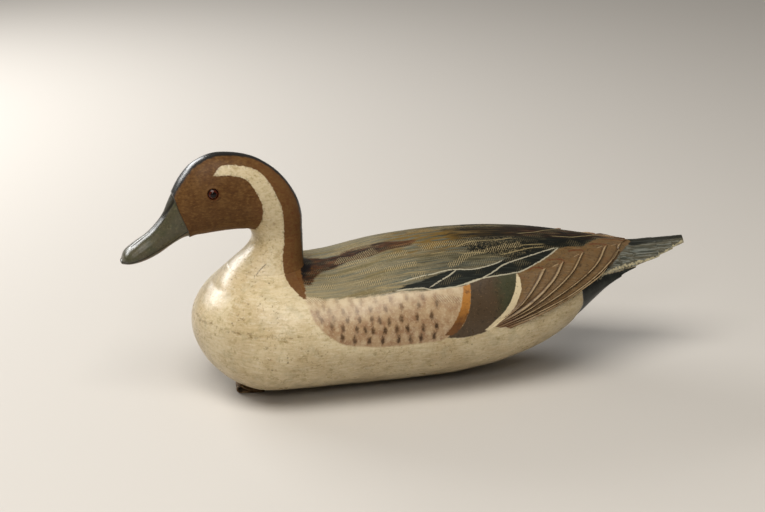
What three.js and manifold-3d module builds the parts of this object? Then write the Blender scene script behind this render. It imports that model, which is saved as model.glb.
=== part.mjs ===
// A painted wooden pintail drake decoy, in millimetres, +Z up.
// The bird faces -X and its left side faces -Y. X is measured from the front of the breast until the finished
// group is centred over the origin, and Z from the surface that the decoy stands on.
import * as THREE from "three";
import { mergeVertices } from "three/addons/utils/BufferGeometryUtils.js";
import Module from "manifold-3d";

const wasm = await Module();
wasm.setup();

// Driving dimensions
const FIT_GAP = 0.3; // left between pieces that touch
const REACH = 1000; // more than the decoy's size, for the slabs that cut it
const SEAM_Z = 61; // level joint between the two halves of the body
const SHELF_Z = 94.5; // flat seat of the neck on the body
const BREAST_LENGTH = 55; // over which the breast rounds off in its side view
const BREAST_POWER = 2.15; // squareness of that rounding
const BREAST_PLAN_LENGTH = 65; // the same in plan
const BREAST_PLAN_POWER = 2.1;
const BODY_SIDES = 40;
const HEAD_SIDES = 24;
const BREAST_RINGS = 8;
const TRUNK_RINGS = 28;
const HEAD_RINGS_PER_STATION = 2.4;

// Body stations from the breast to the tail tip: x, ridge height, keel height, height and half width of the
// widest line, squareness above that line and below it. A keel below zero leaves the flat that it rests on.
const BODY_STATIONS = [
  [0, 87, 8, 52, 64, 2.1, 2.7],
  [30, 92.5, 5.5, 51, 72, 2.1, 2.7],
  [60, 93, 2.4, 50, 74.5, 2.3, 2.25],
  [100, 93, -1.2, 49, 76, 2.3, 1.85],
  [150, 102, -1.6, 49, 75.5, 2.3, 1.8],
  [200, 105.5, 1, 50, 73, 2.3, 1.85],
  [240, 104.5, 10, 52, 67, 2.3, 1.95],
  [275, 101, 24.5, 58, 57, 2.2, 1.95],
  [300, 97, 44.5, 64, 45, 2, 1.9],
  [325, 92, 66.5, 70, 31, 1.8, 1.7],
  [342, 89, 74, 75.5, 22.5, 1.5, 1.5],
  [360, 89, 78, 79, 16, 1.4, 1.5],
  [386, 89.5, 83.5, 85, 3.5, 1.4, 1.6],
];

// Head stations from under the shelf to the bill tip: station, throat x and z, nape or crown x and z, half
// width, squareness. The first four are level, so the neck sits flat on its shelf.
const HEAD_STATIONS = [
  [-1, 16, 74, 92, 74, 46, 2.2],
  [0, 19.5, 84.5, 88, 84.5, 38, 2.2],
  [1, 28, 94.5, 84.5, 94.5, 28, 2.2],
  [2, 39, 104.5, 84, 104.5, 21.5, 2.2],
  [3, 45, 112, 83.7, 121, 18, 2.2],
  [4, 46, 118, 83, 135, 18, 2.2],
  [5, 43, 123.5, 77.5, 150.5, 19, 2.2],
  [6, 36, 124.2, 65.5, 166, 20, 2.2],
  [7, 28, 124, 46.5, 178.3, 20, 2.2],
  [8, 19, 123.3, 22, 182.5, 19.5, 2.2],
  [9, 10, 122.3, 4, 176.8, 18, 2.2],
  [10, 1, 121.6, -7, 165.3, 15.5, 2.2],
  [11, -6, 120.3, -15, 149.6, 12.5, 2.2],
  [12, -15, 115.4, -21.7, 136.6, 10.5, 2.2],
  [13, -25, 109.2, -31.5, 125.6, 10.5, 2.2],
  [14, -36, 105, -42.5, 117.8, 11.5, 2.2],
  [15, -46, 103.4, -49.7, 111.2, 10, 2.2],
  [15.6, -51, 103.4, -51.6, 106.8, 5, 2.2],
];
const SEAT_STATION = 1;
const SEAT_OVERRUN = 0.3; // how far the neck and its foot run on past the seat before they are cut flat
const BILL_STATION = 10.7; // where the bill meets the face
const CHEEK_STATION = 9.4; // where the face starts to swell towards that edge
const FACE_LEDGE = 0.05; // how far the face stands over the bill there, as a share of its size
const LEDGE_RUN = 0.01; // stations over which that edge drops
const BILL_TIP = [-52.4, 0, 105];

// Tail feathers: where each pair ends, and how far its tips stand out past the next pair
const TAIL_NOTCHES = [327, 340, 362, 375];
const TAIL_START = 312;
const NOTCH_DEPTH = 2.2;
const NOTCH_RUN = 0.6;

// Rear edges of the primaries on one wing, each from its tip by the back to its root behind the speculum, as
// x and degrees of girth down from the ridge. The first is the front of the panel, the last the wing's end.
const FEATHER_EDGES = [
  [[238, 50], [237, 64], [226, 79], [209, 88]],
  [[259, 49], [250, 61], [236, 74], [212, 87]],
  [[276, 44], [264, 61], [243, 76], [213, 87]],
  [[296, 36], [280, 58], [253, 75], [215, 87]],
  [[320, 26], [303, 56], [270, 74], [218, 88]],
  [[334, 21], [318, 55], [285, 76], [222, 88]],
  [[340, 6], [313, 61], [283, 78], [226, 89.5]],
];
const FEATHER_LIFT = 2; // height of a feather's rear edge over the body
const FEATHER_REST = 0.9; // height where it comes out from under the feather before it
const WING_END_LIFT = 2.8; // height of the wing's end over the tail
const PLATE_ROOT = 2; // depth that a feather plate reaches into the body
const FEATHER_STEPS = 10; // along an edge
const FEATHER_COLUMNS = [0.04, 0.5, 1]; // across a feather, as shares of its width

// Glass eye: a ball of which only the front shows
const EYE_RADIUS = 4.3;
const EYE_STATION = 8.4;
const EYE_ANGLE = 82; // degrees of girth from the crown
const EYE_INSET = 2.5; // from the side of the head to the ball's centre
const EYE_MERIDIANS = 16;
const EYE_PARALLELS = 9;

// Line tie: a folded strip of leather with an eye at its front end, whose layers meet at closed
const TIE = { x: 29, y: -13, width: 14, length: 21, closed: 11, thick: 1.6, eye: 1.6, turn: -8 };
const TIE_ARC_STEPS = 10;

// Values between the rows of a table along one smooth curve: each row starts with its place
function curveThrough(rows) {
  const slopes = rows.slice(1).map((row, i) => {
    const run = row[0] - rows[i][0];
    return row.map((v, c) => (v - rows[i][c]) / run);
  });
  const tangents = rows.map((row, i) => {
    if (i === 0) return slopes[0];
    if (i === slopes.length) return slopes[i - 1];
    const before = row[0] - rows[i - 1][0];
    const after = rows[i + 1][0] - row[0];
    return row.map((_, c) => (slopes[i - 1][c] * after + slopes[i][c] * before) / (before + after));
  });
  return (place) => {
    let i = slopes.length - 1;
    while (i > 0 && rows[i][0] > place) i -= 1;
    const span = rows[i + 1][0] - rows[i][0];
    const u = (place - rows[i][0]) / span;
    const start = 2 * u ** 3 - 3 * u ** 2 + 1;
    const leave = (u ** 3 - 2 * u ** 2 + u) * span;
    const arrive = (u ** 3 - u ** 2) * span;
    return rows[i].map((here, c) => {
      const there = rows[i + 1][c];
      return start * here + (1 - start) * there + leave * tangents[i][c] + arrive * tangents[i + 1][c];
    });
  };
}

const bodyAt = curveThrough(BODY_STATIONS);
const headAt = curveThrough(HEAD_STATIONS);
const TAIL_TIP = BODY_STATIONS.at(-1)[0];

function signedPower(value, power) {
  return Math.sign(value) * Math.abs(value) ** power;
}

// Each pair of tail feathers widens to its tips, where the next pair starts further in
function tailNotch(x) {
  const ends = [TAIL_START, ...TAIL_NOTCHES, TAIL_TIP];
  const next = ends.findIndex((end) => end >= x);
  if (next < 1) return 0;
  return (NOTCH_DEPTH * (x - ends[next - 1])) / (ends[next] - ends[next - 1]);
}

// Share of its full size that the breast has reached at x
function breastSwell(x, length, power) {
  const left = 1 - Math.min(x / length, 1);
  return (1 - left ** power) ** (1 / power);
}

// A point of the body: angle runs from the ridge at 0 to the keel at 180, side is -1 for the left
function bodyPoint(x, angle, side) {
  const [, ridge, keel, wide, half, above, below] = bodyAt(x);
  const height = breastSwell(x, BREAST_LENGTH, BREAST_POWER);
  const width = breastSwell(x, BREAST_PLAN_LENGTH, BREAST_PLAN_POWER);
  const turn = THREE.MathUtils.degToRad(angle);
  const power = 2 / (angle <= 90 ? above : below);
  const reach = angle <= 90 ? ridge - wide : wide - keel;
  return new THREE.Vector3(
    x,
    side * (half * width + tailNotch(x)) * signedPower(Math.sin(turn), power),
    wide + height * reach * signedPower(Math.cos(turn), power),
  );
}

function bodyRing(x) {
  return Array.from({ length: BODY_SIDES }, (_, i) => {
    const angle = (i * 360) / BODY_SIDES;
    return angle <= 180 ? bodyPoint(x, angle, -1) : bodyPoint(x, 360 - angle, 1);
  });
}

// How much larger the head is at a station, for the edge of the face over the bill
function faceSwell(station) {
  if (station >= BILL_STATION || station <= CHEEK_STATION) return 1;
  return 1 + FACE_LEDGE * ((station - CHEEK_STATION) / (BILL_STATION - CHEEK_STATION)) ** 2;
}

// A point of the head: angle runs from the crown or nape at 0 to the throat at 180
function headPoint(station, angle, side) {
  const [, throatX, throatZ, napeX, napeZ, half, power] = headAt(station);
  const turn = THREE.MathUtils.degToRad(angle);
  const along = (signedPower(Math.cos(turn), 2 / power) * faceSwell(station)) / 2;
  return new THREE.Vector3(
    (throatX + napeX) / 2 + along * (napeX - throatX),
    side * half * faceSwell(station) * signedPower(Math.sin(turn), 2 / power),
    (throatZ + napeZ) / 2 + along * (napeZ - throatZ),
  );
}

function headRing(station) {
  return Array.from({ length: HEAD_SIDES }, (_, i) => {
    const angle = (i * 360) / HEAD_SIDES;
    return angle <= 180 ? headPoint(station, angle, 1) : headPoint(station, 360 - angle, -1);
  });
}

// Closed skin over rings of equal length, each end closed to a point
function loft(rings, startPoint, endPoint) {
  const sides = rings[0].length;
  const points = [...rings.flat(), startPoint, endPoint];
  const start = points.length - 2;
  const faces = [];
  for (let j = 0; j < sides; j += 1) {
    const k = (j + 1) % sides;
    faces.push(start, k, j);
    for (let i = 0; i + 1 < rings.length; i += 1) {
      const a = i * sides;
      const b = a + sides;
      faces.push(a + j, a + k, b + k, a + j, b + k, b + j);
    }
    const last = (rings.length - 1) * sides;
    faces.push(last + j, last + k, start + 1);
  }
  return meshOf(points.flatMap((p) => p.toArray()), faces);
}

function meshOf(coordinates, faces) {
  return new THREE.BufferGeometry()
    .setAttribute("position", new THREE.Float32BufferAttribute(coordinates, 3))
    .setIndex(faces);
}

function middle(ring) {
  return ring.reduce((sum, p) => sum.add(p), new THREE.Vector3()).divideScalar(ring.length);
}

function solid(geometry) {
  const bare = geometry.clone().deleteAttribute("normal").deleteAttribute("uv");
  const merged = mergeVertices(bare, 1e-4);
  const vertProperties = new Float32Array(merged.attributes.position.array);
  return new wasm.Manifold(
    new wasm.Mesh({ numProp: 3, vertProperties, triVerts: new Uint32Array(merged.index.array) }),
  );
}

// Level slab that reaches past the decoy all round
function slab(minZ, maxZ) {
  const box = new THREE.BoxGeometry(REACH, REACH, maxZ - minZ);
  return solid(box.translate(0, 0, (minZ + maxZ) / 2));
}

function steps(from, to, count) {
  return Array.from({ length: count + 1 }, (_, i) => from + ((to - from) * i) / count);
}

// Body and tail as one form, before it is cut into halves
function bodyForm() {
  const turns = steps(0, Math.PI / 2, BREAST_RINGS).slice(1);
  const breast = turns.map((turn) => BREAST_LENGTH * (1 - Math.cos(turn)));
  const trunk = steps(BREAST_LENGTH, TAIL_START, TRUNK_RINGS).slice(1);
  const tail = TAIL_NOTCHES.flatMap((x, i) => {
    const from = i ? TAIL_NOTCHES[i - 1] : TAIL_START;
    return [(from + x) / 2, x, x + NOTCH_RUN];
  });
  const rings = [...breast, ...trunk, ...tail, TAIL_TIP].map(bodyRing);
  const front = new THREE.Vector3(0, 0, BODY_STATIONS[0][3]);
  return solid(loft(rings, front, middle(rings.at(-1))));
}

function headForm(from, to) {
  const stations = steps(from, to, Math.round((to - from) * HEAD_RINGS_PER_STATION));
  if (to > BILL_STATION) stations.push(BILL_STATION - LEDGE_RUN, BILL_STATION);
  const rings = stations.sort((a, b) => a - b).map(headRing);
  const end = to > BILL_STATION ? new THREE.Vector3(...BILL_TIP) : middle(rings.at(-1));
  return solid(loft(rings, middle(rings[0]), end));
}

// Outward direction of the body's surface
function bodyNormal(x, angle, side) {
  const step = 0.5; // millimetres and degrees
  const along = bodyPoint(x + step, angle, side).sub(bodyPoint(x - step, angle, side));
  const around = bodyPoint(x, angle + step, side).sub(bodyPoint(x, angle - step, side));
  return along.cross(around).multiplyScalar(side).normalize();
}

// Points across the wing on one of its rows: each primary rises from under the one before it to its rear edge
function wingRow(edges, t, side, deep) {
  const across = edges.map((edge) => edge(t).slice(1));
  const last = across.length - 1;
  return across.slice(1).flatMap(([rearX, rearAngle], i) => {
    const [frontX, frontAngle] = across[i];
    const rearLift = i + 1 === last ? WING_END_LIFT : FEATHER_LIFT;
    return FEATHER_COLUMNS.map((s) => {
      const x = frontX + (rearX - frontX) * s;
      const angle = frontAngle + (rearAngle - frontAngle) * s;
      const lift = deep ? -PLATE_ROOT : FEATHER_REST + (rearLift - FEATHER_REST) * s;
      return bodyPoint(x, angle, side).addScaledVector(bodyNormal(x, angle, side), lift);
    });
  });
}

// Closed skin of a plate from the grids of its two sides, seen the same way
function plate(top, root) {
  const [rows, columns] = [top.length, top[0].length];
  const at = (level, [r, c]) => (level * rows + r) * columns + c;
  const faces = [];
  const quad = (a, b, c, d) => faces.push(a, b, c, a, c, d);
  for (let r = 0; r + 1 < rows; r += 1) {
    for (let c = 0; c + 1 < columns; c += 1) {
      const corners = [[r, c], [r, c + 1], [r + 1, c + 1], [r + 1, c]];
      quad(...corners.map((corner) => at(0, corner)));
      quad(...corners.reverse().map((corner) => at(1, corner)));
    }
  }
  const rim = [];
  for (let c = 0; c + 1 < columns; c += 1) rim.push([0, c]);
  for (let r = 0; r + 1 < rows; r += 1) rim.push([r, columns - 1]);
  for (let c = columns - 1; c > 0; c -= 1) rim.push([rows - 1, c]);
  for (let r = rows - 1; r > 0; r -= 1) rim.push([r, 0]);
  rim.forEach((here, i) => {
    const next = rim[(i + 1) % rim.length];
    quad(at(1, here), at(1, next), at(0, next), at(0, here));
  });
  return meshOf([...top.flat(), ...root.flat()].flatMap((p) => p.toArray()), faces);
}

// The shingled primaries of one wing, let into the body
function wing(side) {
  const edges = FEATHER_EDGES.map((edge) => curveThrough(edge.map((point, i) => [i, ...point])));
  const places = steps(0, FEATHER_EDGES[0].length - 1, FEATHER_STEPS);
  if (side < 0) places.reverse();
  const [top, root] = [false, true].map((deep) => places.map((t) => wingRow(edges, t, side, deep)));
  return solid(plate(top, root));
}

// Neck foot: the part of the neck's flare that belongs to the body, flat on top
function neckFoot() {
  const foot = headForm(HEAD_STATIONS[0][0], SEAT_STATION + SEAT_OVERRUN);
  return foot.intersect(slab(0, SHELF_Z - FIT_GAP / 2));
}

function bodyHalves() {
  const whole = bodyForm().add(neckFoot()).add(wing(-1)).add(wing(1));
  const upper = whole.intersect(slab(SEAM_Z + FIT_GAP / 2, REACH));
  const lower = whole.intersect(slab(0, SEAM_Z - FIT_GAP / 2));
  return [upper, lower];
}

function eyeCentre(side) {
  const surface = headPoint(EYE_STATION, EYE_ANGLE, side);
  return surface.addScaledVector(new THREE.Vector3(0, side, 0), -EYE_INSET);
}

function eyeBall(radius) {
  return new THREE.SphereGeometry(radius, EYE_MERIDIANS, EYE_PARALLELS);
}

function headSolid() {
  let carved = headForm(SEAT_STATION - SEAT_OVERRUN, HEAD_STATIONS.at(-1)[0]);
  carved = carved.intersect(slab(SHELF_Z + FIT_GAP / 2, REACH));
  for (const side of [-1, 1]) {
    const centre = eyeCentre(side);
    const socket = eyeBall(EYE_RADIUS + FIT_GAP).translate(centre.x, centre.y, centre.z);
    carved = carved.subtract(solid(socket));
  }
  return carved;
}

// Side outline of the folded strip: two layers that part at the front into a round eye
function lineTieGeometry() {
  const { width, length, closed, thick, eye } = TIE;
  const outer = eye + thick;
  const outline = new THREE.Shape();
  outline.absarc(outer, outer, outer, Math.PI / 2, (3 * Math.PI) / 2, false);
  outline.lineTo(length, 0);
  outline.lineTo(length, 2 * thick);
  outline.lineTo(closed, 2 * thick);
  outline.closePath();
  const hole = new THREE.Path();
  hole.absarc(outer, outer, eye, Math.PI / 2, (3 * Math.PI) / 2, false);
  hole.lineTo(closed - eye, thick);
  hole.closePath();
  outline.holes.push(hole);
  const strip = new THREE.ExtrudeGeometry(outline, {
    depth: width,
    bevelEnabled: false,
    curveSegments: TIE_ARC_STEPS,
  });
  return strip.translate(0, 0, -width / 2).rotateX(Math.PI / 2);
}

const PAINT = {
  body_upper: { color: 0x8d7f68, roughness: 0.45, metalness: 0 },
  body_lower: { color: 0xcdb893, roughness: 0.45, metalness: 0 },
  head: { color: 0x5b3d24, roughness: 0.4, metalness: 0 },
  eye: { color: 0x4a1408, roughness: 0.05, metalness: 0 },
  line_tie: { color: 0x5a4330, roughness: 0.8, metalness: 0 },
};

function mesh(name, geometry, paint) {
  const piece = new THREE.Mesh(geometry, new THREE.MeshStandardMaterial(paint));
  piece.name = name;
  return piece;
}

function carvedMesh(name, form, paint) {
  const { vertProperties, triVerts } = form.getMesh();
  const geometry = meshOf(vertProperties, Array.from(triVerts)).toNonIndexed();
  geometry.computeVertexNormals();
  return mesh(name, geometry, paint);
}

const decoy = new THREE.Group();
const [upper, lower] = bodyHalves();
decoy.add(carvedMesh("body_upper", upper, PAINT.body_upper));
decoy.add(carvedMesh("body_lower", lower, PAINT.body_lower));
decoy.add(carvedMesh("head", headSolid(), PAINT.head));
for (const [name, side] of [["eye_left", -1], ["eye_right", 1]]) {
  const eye = mesh(name, eyeBall(EYE_RADIUS), PAINT.eye);
  eye.position.copy(eyeCentre(side));
  decoy.add(eye);
}
const tie = mesh("line_tie", lineTieGeometry(), PAINT.line_tie);
tie.position.set(TIE.x, TIE.y, FIT_GAP / 2);
tie.rotation.z = THREE.MathUtils.degToRad(TIE.turn);
decoy.add(tie);

// The origin is under the middle of the decoy's length, on the surface that it stands on
const extent = new THREE.Box3().setFromObject(decoy, true);
decoy.position.set(-(extent.min.x + extent.max.x) / 2, -(extent.min.y + extent.max.y) / 2, -extent.min.z);

export default decoy;
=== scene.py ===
# A painted wooden pintail drake decoy: its carving and its paint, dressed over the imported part.
# Lengths are in millimetres until a mesh is made. x runs back from the front of the breast, y to the
# bird's right and z up from the floor, as in the part's own source.
import math

import bmesh
import bpy
import numpy as np
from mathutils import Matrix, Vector


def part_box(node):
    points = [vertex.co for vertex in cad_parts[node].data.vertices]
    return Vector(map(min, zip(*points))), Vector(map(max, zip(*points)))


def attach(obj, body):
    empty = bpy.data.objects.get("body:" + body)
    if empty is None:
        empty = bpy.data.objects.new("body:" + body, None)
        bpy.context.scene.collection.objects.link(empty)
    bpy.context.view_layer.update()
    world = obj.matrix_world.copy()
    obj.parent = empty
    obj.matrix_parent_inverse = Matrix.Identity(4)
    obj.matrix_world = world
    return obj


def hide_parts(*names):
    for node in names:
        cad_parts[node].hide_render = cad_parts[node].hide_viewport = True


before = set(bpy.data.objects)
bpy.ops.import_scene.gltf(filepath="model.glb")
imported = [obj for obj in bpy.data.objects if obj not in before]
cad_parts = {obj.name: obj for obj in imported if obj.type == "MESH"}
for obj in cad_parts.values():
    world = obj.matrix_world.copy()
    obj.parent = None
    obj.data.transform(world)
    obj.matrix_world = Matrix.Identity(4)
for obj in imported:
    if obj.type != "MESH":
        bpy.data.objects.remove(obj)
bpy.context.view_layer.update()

MM = 0.001

# Driving dimensions
SEAM_Z = 61  # level joint between the two halves of the body
SEAM_GAP = 0.06
SHELF_Z = 94.5  # flat seat of the neck on the body
SEAT_GAP = 0.02
BREAST_LENGTH = 55  # over which the breast rounds off in its side view
BREAST_POWER = 2.15
BREAST_PLAN_LENGTH = 65  # the same in plan
BREAST_PLAN_POWER = 2.1
NECK_FILLET = 5  # over which the neck's flare runs into the body
NECK_FALL = 20  # how steeply that flare falls outside the neck
BEHIND_NECK = 100  # where the flare has ended

# Hand-cut skin: the ways that its unevenness runs, and how finely each mesh is divided
CUT_WAYS = [(1, 0.4, 0.7), (-0.5, 1, 0.3), (0.3, -0.6, 1), (0.8, 0.9, -0.5), (-1, 0.2, 0.6)]
SHARP_DEGREES = 38
BODY_STEP = 1.05
BODY_COLUMNS = 320
HEAD_STEP = 0.56
HEAD_COLUMNS = 200
FEATHER_ROWS = 80
FEATHER_COLUMNS = 16
EYE_RINGS = 40
EYE_COLUMNS = 48

# Body stations: x, ridge height, keel height, height and half width of the widest line, and squareness
# above and below it
BODY_STATIONS = [
    [0, 87, 8, 52, 64, 2.1, 2.7],
    [30, 92.5, 5.5, 51, 72, 2.1, 2.7],
    [60, 93, 2.4, 50, 74.5, 2.3, 2.25],
    [100, 93, -1.2, 49, 76, 2.3, 1.85],
    [150, 102, -1.6, 49, 75.5, 2.3, 1.8],
    [200, 105.5, 1, 50, 73, 2.3, 1.85],
    [240, 104.5, 10, 52, 67, 2.3, 1.95],
    [275, 101, 24.5, 58, 57, 2.2, 1.95],
    [300, 97, 44.5, 64, 45, 2, 1.9],
    [325, 92, 66.5, 70, 31, 1.8, 1.7],
    [342, 89, 74, 75.5, 22.5, 1.5, 1.5],
    [360, 89, 78, 79, 16, 1.4, 1.5],
    [386, 89.5, 83.5, 85, 3.5, 1.4, 1.6],
]
TAIL_TIP = BODY_STATIONS[-1][0]

# Head stations: station, throat x and z, nape or crown x and z, half width, squareness
HEAD_STATIONS = [
    [-1, 16, 74, 92, 74, 46, 2.2],
    [0, 19.5, 84.5, 88, 84.5, 38, 2.2],
    [1, 28, 94.5, 84.5, 94.5, 28, 2.2],
    [2, 39, 104.5, 84, 104.5, 21.5, 2.2],
    [3, 45, 112, 83.7, 121, 18, 2.2],
    [4, 46, 118, 83, 135, 18, 2.2],
    [5, 43, 123.5, 77.5, 150.5, 19, 2.2],
    [6, 36, 124.2, 65.5, 166, 20, 2.2],
    [7, 28, 124, 46.5, 178.3, 20, 2.2],
    [8, 19, 123.3, 22, 182.5, 19.5, 2.2],
    [9, 10, 122.3, 4, 176.8, 18, 2.2],
    [10, 1, 121.6, -7, 165.3, 15.5, 2.2],
    [11, -6, 120.3, -15, 149.6, 12.5, 2.2],
    [12, -15, 115.4, -21.7, 136.6, 10.5, 2.2],
    [13, -25, 109.2, -31.5, 125.6, 10.5, 2.2],
    [14, -36, 105, -42.5, 117.8, 11.5, 2.2],
    [15, -46, 103.4, -49.7, 111.2, 10, 2.2],
    [15.6, -51, 103.4, -51.6, 106.8, 5, 2.2],
]
SEAT_STATION = 1
BILL_STATION = 10.7  # where the bill meets the face
CHEEK_STATION = 9.4  # where the face starts to swell towards that edge
FACE_LEDGE = 0.05  # how far the face stands over the bill there, as a share of its size
LEDGE_RUN = 0.01
BILL_TIP = (-52.4, 0, 105)
TIP_TURNS = np.radians([25, 50, 70])  # rings that round off its tip
FACE_LEAN = 0.36
CULMEN_GROOVE = 0.3
GAPE_GROOVE = 0.45

# Tail feathers: where each pair ends, and how far its tips stand out past the next pair
TAIL_START = 312
TAIL_NOTCHES = [327, 340, 362, 375]
NOTCH_DEPTH = 2.2
NOTCH_RUN = 0.6
RUMP_INSET = 0.9
TAIL_GROOVE = 0.22
TAIL_GROOVES = 16

# Rear edges of the primaries on one wing, each from its tip by the back to its root, as x and degrees
# of girth
FEATHER_EDGES = [
    [[238, 50], [237, 64], [226, 79], [209, 88]],
    [[259, 49], [250, 61], [236, 74], [212, 87]],
    [[276, 44], [264, 61], [243, 76], [213, 87]],
    [[296, 36], [280, 58], [253, 75], [215, 87]],
    [[320, 26], [303, 56], [270, 74], [218, 88]],
    [[334, 21], [318, 55], [285, 76], [222, 88]],
    [[340, 6], [313, 61], [283, 78], [226, 89.5]],
]
FEATHER_LIFT = 2
FEATHER_REST = 0.3
WING_END_LIFT = 2.8
PLATE_ROOT = 2
LIP = 0.35
HOLLOW = 0.25
WING_APART = 0.37

# Glass eye
EYE_RADIUS = 4.3
EYE_STATION = 8.4
EYE_ANGLE = 82
EYE_INSET = 2.5
EYE_SOCKET = 3.9
SOCKET_DEPTH = 2.1
LID_HEIGHT = 0.32

# Line tie: a folded strip of leather with an eye at its front end
TIE = dict(x=29, y=-13, clear=0.2, width=14, length=21, closed=11, thick=1.5, eye=1.65, turn=-8)

TO_ROW_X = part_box("head")[0].x / MM - BILL_TIP[0]  # from the front of the breast to the part's origin

# The camera stands where the photograph was taken
VIEW_AZIMUTH = -14.5
VIEW_ELEVATION = 19
VIEW_DISTANCE = 1.8
VIEW_TARGET = Vector((-0.0073, 0, 0.084))
LENS = 111.8
SENSOR = 36
TARGET_PIXEL = (400, 265)
IMAGE = (765, 512)

# Painted areas of the body, as x and degrees of girth down from the ridge on either side
AREAS = {
    "back": [
        (72, 0), (73, 12), (74, 25), (74.6, 35), (76, 41), (84, 43), (101, 45), (122, 48), (136, 49),
        (150, 51), (166, 53), (190, 53.5), (207, 49.4), (236, 49), (247, 49), (267, 41), (280, 34),
        (300, 32), (312, 24), (326, 14), (346, 8), (346, 0),
    ],
    "wedge": [
        (138.5, 48), (149, 46), (158, 44.5), (172, 42), (187, 39), (202, 40.5), (217, 38.5), (229, 34.5),
        (250, 30.5), (266, 27), (277, 25), (267, 34), (247, 44.5), (235, 48), (207, 49), (192, 52),
        (180, 53), (170, 52.5), (159, 50), (148, 49),
    ],
    "flank": [
        (73, 36), (74, 44), (75.5, 52), (77, 63), (82, 72), (88.5, 80), (96, 85), (105, 88), (123, 90),
        (141, 91), (158, 91), (174, 89.5), (183, 84), (190, 75), (194, 65), (196, 50), (166, 46),
        (136, 38), (101, 34), (84, 34),
    ],
    "ochre": [
        (192, 53), (189.5, 64), (185.5, 74.5), (180.5, 81.5), (174.5, 87.5), (180, 88), (187, 84),
        (192, 77), (195.8, 65.5), (197.6, 53),
    ],
    "speculum": [
        (197, 52), (195.5, 65.5), (191.5, 77), (186.5, 84), (176, 89), (192, 90), (206, 89), (214, 84),
        (224, 77), (231, 68), (234, 60), (235, 48), (210, 49),
    ],
    "primaries": [
        (236, 48.6), (247, 45), (267, 34.4), (277, 27), (287, 25.4), (297, 26.4), (302, 22), (310, 14.4),
        (318, 6.5), (330, 2), (341, 2), (343, 12), (336, 30), (318, 58), (296, 72), (262, 80), (214, 87),
        (221, 80), (232, 68), (237, 58),
    ],
    "crescent": [
        (234.6, 50.6), (232.6, 59.5), (229.2, 67.5), (223, 76), (214, 83), (205, 88.4), (210, 88.6),
        (219, 83.5), (228, 77.5), (234, 69), (237.2, 60.5), (237, 52.2),
    ],
    "dusk": [
        (193, 0), (196, 8), (202, 16), (212, 24), (226, 31), (240, 33), (262, 29), (277, 26), (298, 27),
        (303, 20), (312, 13), (319, 6), (326, 0),
    ],
    "rump": [
        (281, 66), (285, 69.5), (287.6, 73.5), (288.8, 80), (289.3, 90), (289.5, 98), (288, 108),
        (284, 125), (278, 150), (276, 179), (320, 179), (390, 179), (390, 108), (372, 104), (358, 100),
        (346, 88), (327, 74), (314, 71), (304, 66),
    ],
    "tail": [
        (300, 60), (314, 70), (327, 73), (346, 87), (358, 99), (372, 103), (390, 107), (390, 0), (338, 0),
        (332, 30),
    ],
    "tail_dark": [(338, 0), (339, 22), (345, 30), (355, 27), (372, 30), (388, 42), (390, 0)],
    # painted shade in the crease behind the neck
    "neck_soot": [(74, 0), (92, 0), (88, 6), (84, 12), (80, 18), (74, 24)],
}
# Areas that are not alike on both sides: below zero is the left
ONE_SIDED = {
    "worn": [
        (76, -4), (84, 3), (91, 4), (103, 1), (112, 2), (120, 4), (129, 4.5), (138, 3.5), (148, 2.5),
        (159, 0), (170, -2), (163, -6.5), (156, -6.5), (144, -7), (132, -9), (121, -8), (109, -9.5),
        (99, -12.5), (92, -15), (86, -20.5), (81, -28), (75, -26),
    ],
}
# Brush lines: points as above
WHITE_LINES = {
    "line_a": [(146, 42), (158, 40.6), (172, 39.6), (185, 38.4), (202, 40.6), (217, 38.8), (228.5, 35)],
    "line_b": [(166, 51), (174.5, 47), (184.5, 42.5), (190.5, 38.5)],
    "line_c": [(190, 52.6), (200.5, 51), (215.5, 46), (227.5, 39.5), (249.5, 33.5), (276, 25.5)],
    "line_d": [
        (140, 48.2), (159, 49.8), (171, 53), (186, 53), (207.5, 49.2), (235.5, 48), (247, 44.6),
        (267, 34), (277, 25.6),
    ],
}
THIN_LINES = {
    "line_e": [(226, 30), (242, 27), (251, 25), (266, 24)],
    "line_h": [(127, 41.5), (136, 44), (149, 46.6)],
    "line_i": [(194, 23), (204, 25), (218, 25.5)],
    "line_j": [(174, 20.5), (187, 20.5)],
    "line_k": [(149, 35), (158, 35.5), (168, 36.5)],
    "line_l": [(245, 21), (257, 20.5), (267, 20.5)],
    "line_m": [(195, 17), (211, 12), (230, 12), (244, 10)],
}
# The same for lines that are not alike on both sides
ONE_SIDED_LINES = {
    "line_f": [(249, -4), (264, -1.5), (279, 5), (295, 14), (309, 17), (322, 14)],
    "line_g": [(275, -8), (292, -9), (304, -4.5), (322, 12)],
    "worn_core": [(84, -3), (96, -2), (108, -0.5), (117, -1), (126, -1.5), (135, -2), (146, -3.5)],
}
HOOKS = [
    [(258, 49.6), (256.6, 47), (251, 45.6), (245, 47.6)],
    [(277.6, 42.6), (274, 40.4), (268, 39.6), (262, 40)],
    [(297, 35.6), (296, 31.6), (290, 31), (283, 32)],
    [(321, 25.6), (318, 22), (311, 21.6), (304, 23)],
    [(339, 9), (334, 6), (326, 6.6), (318, 9)],
]
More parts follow.
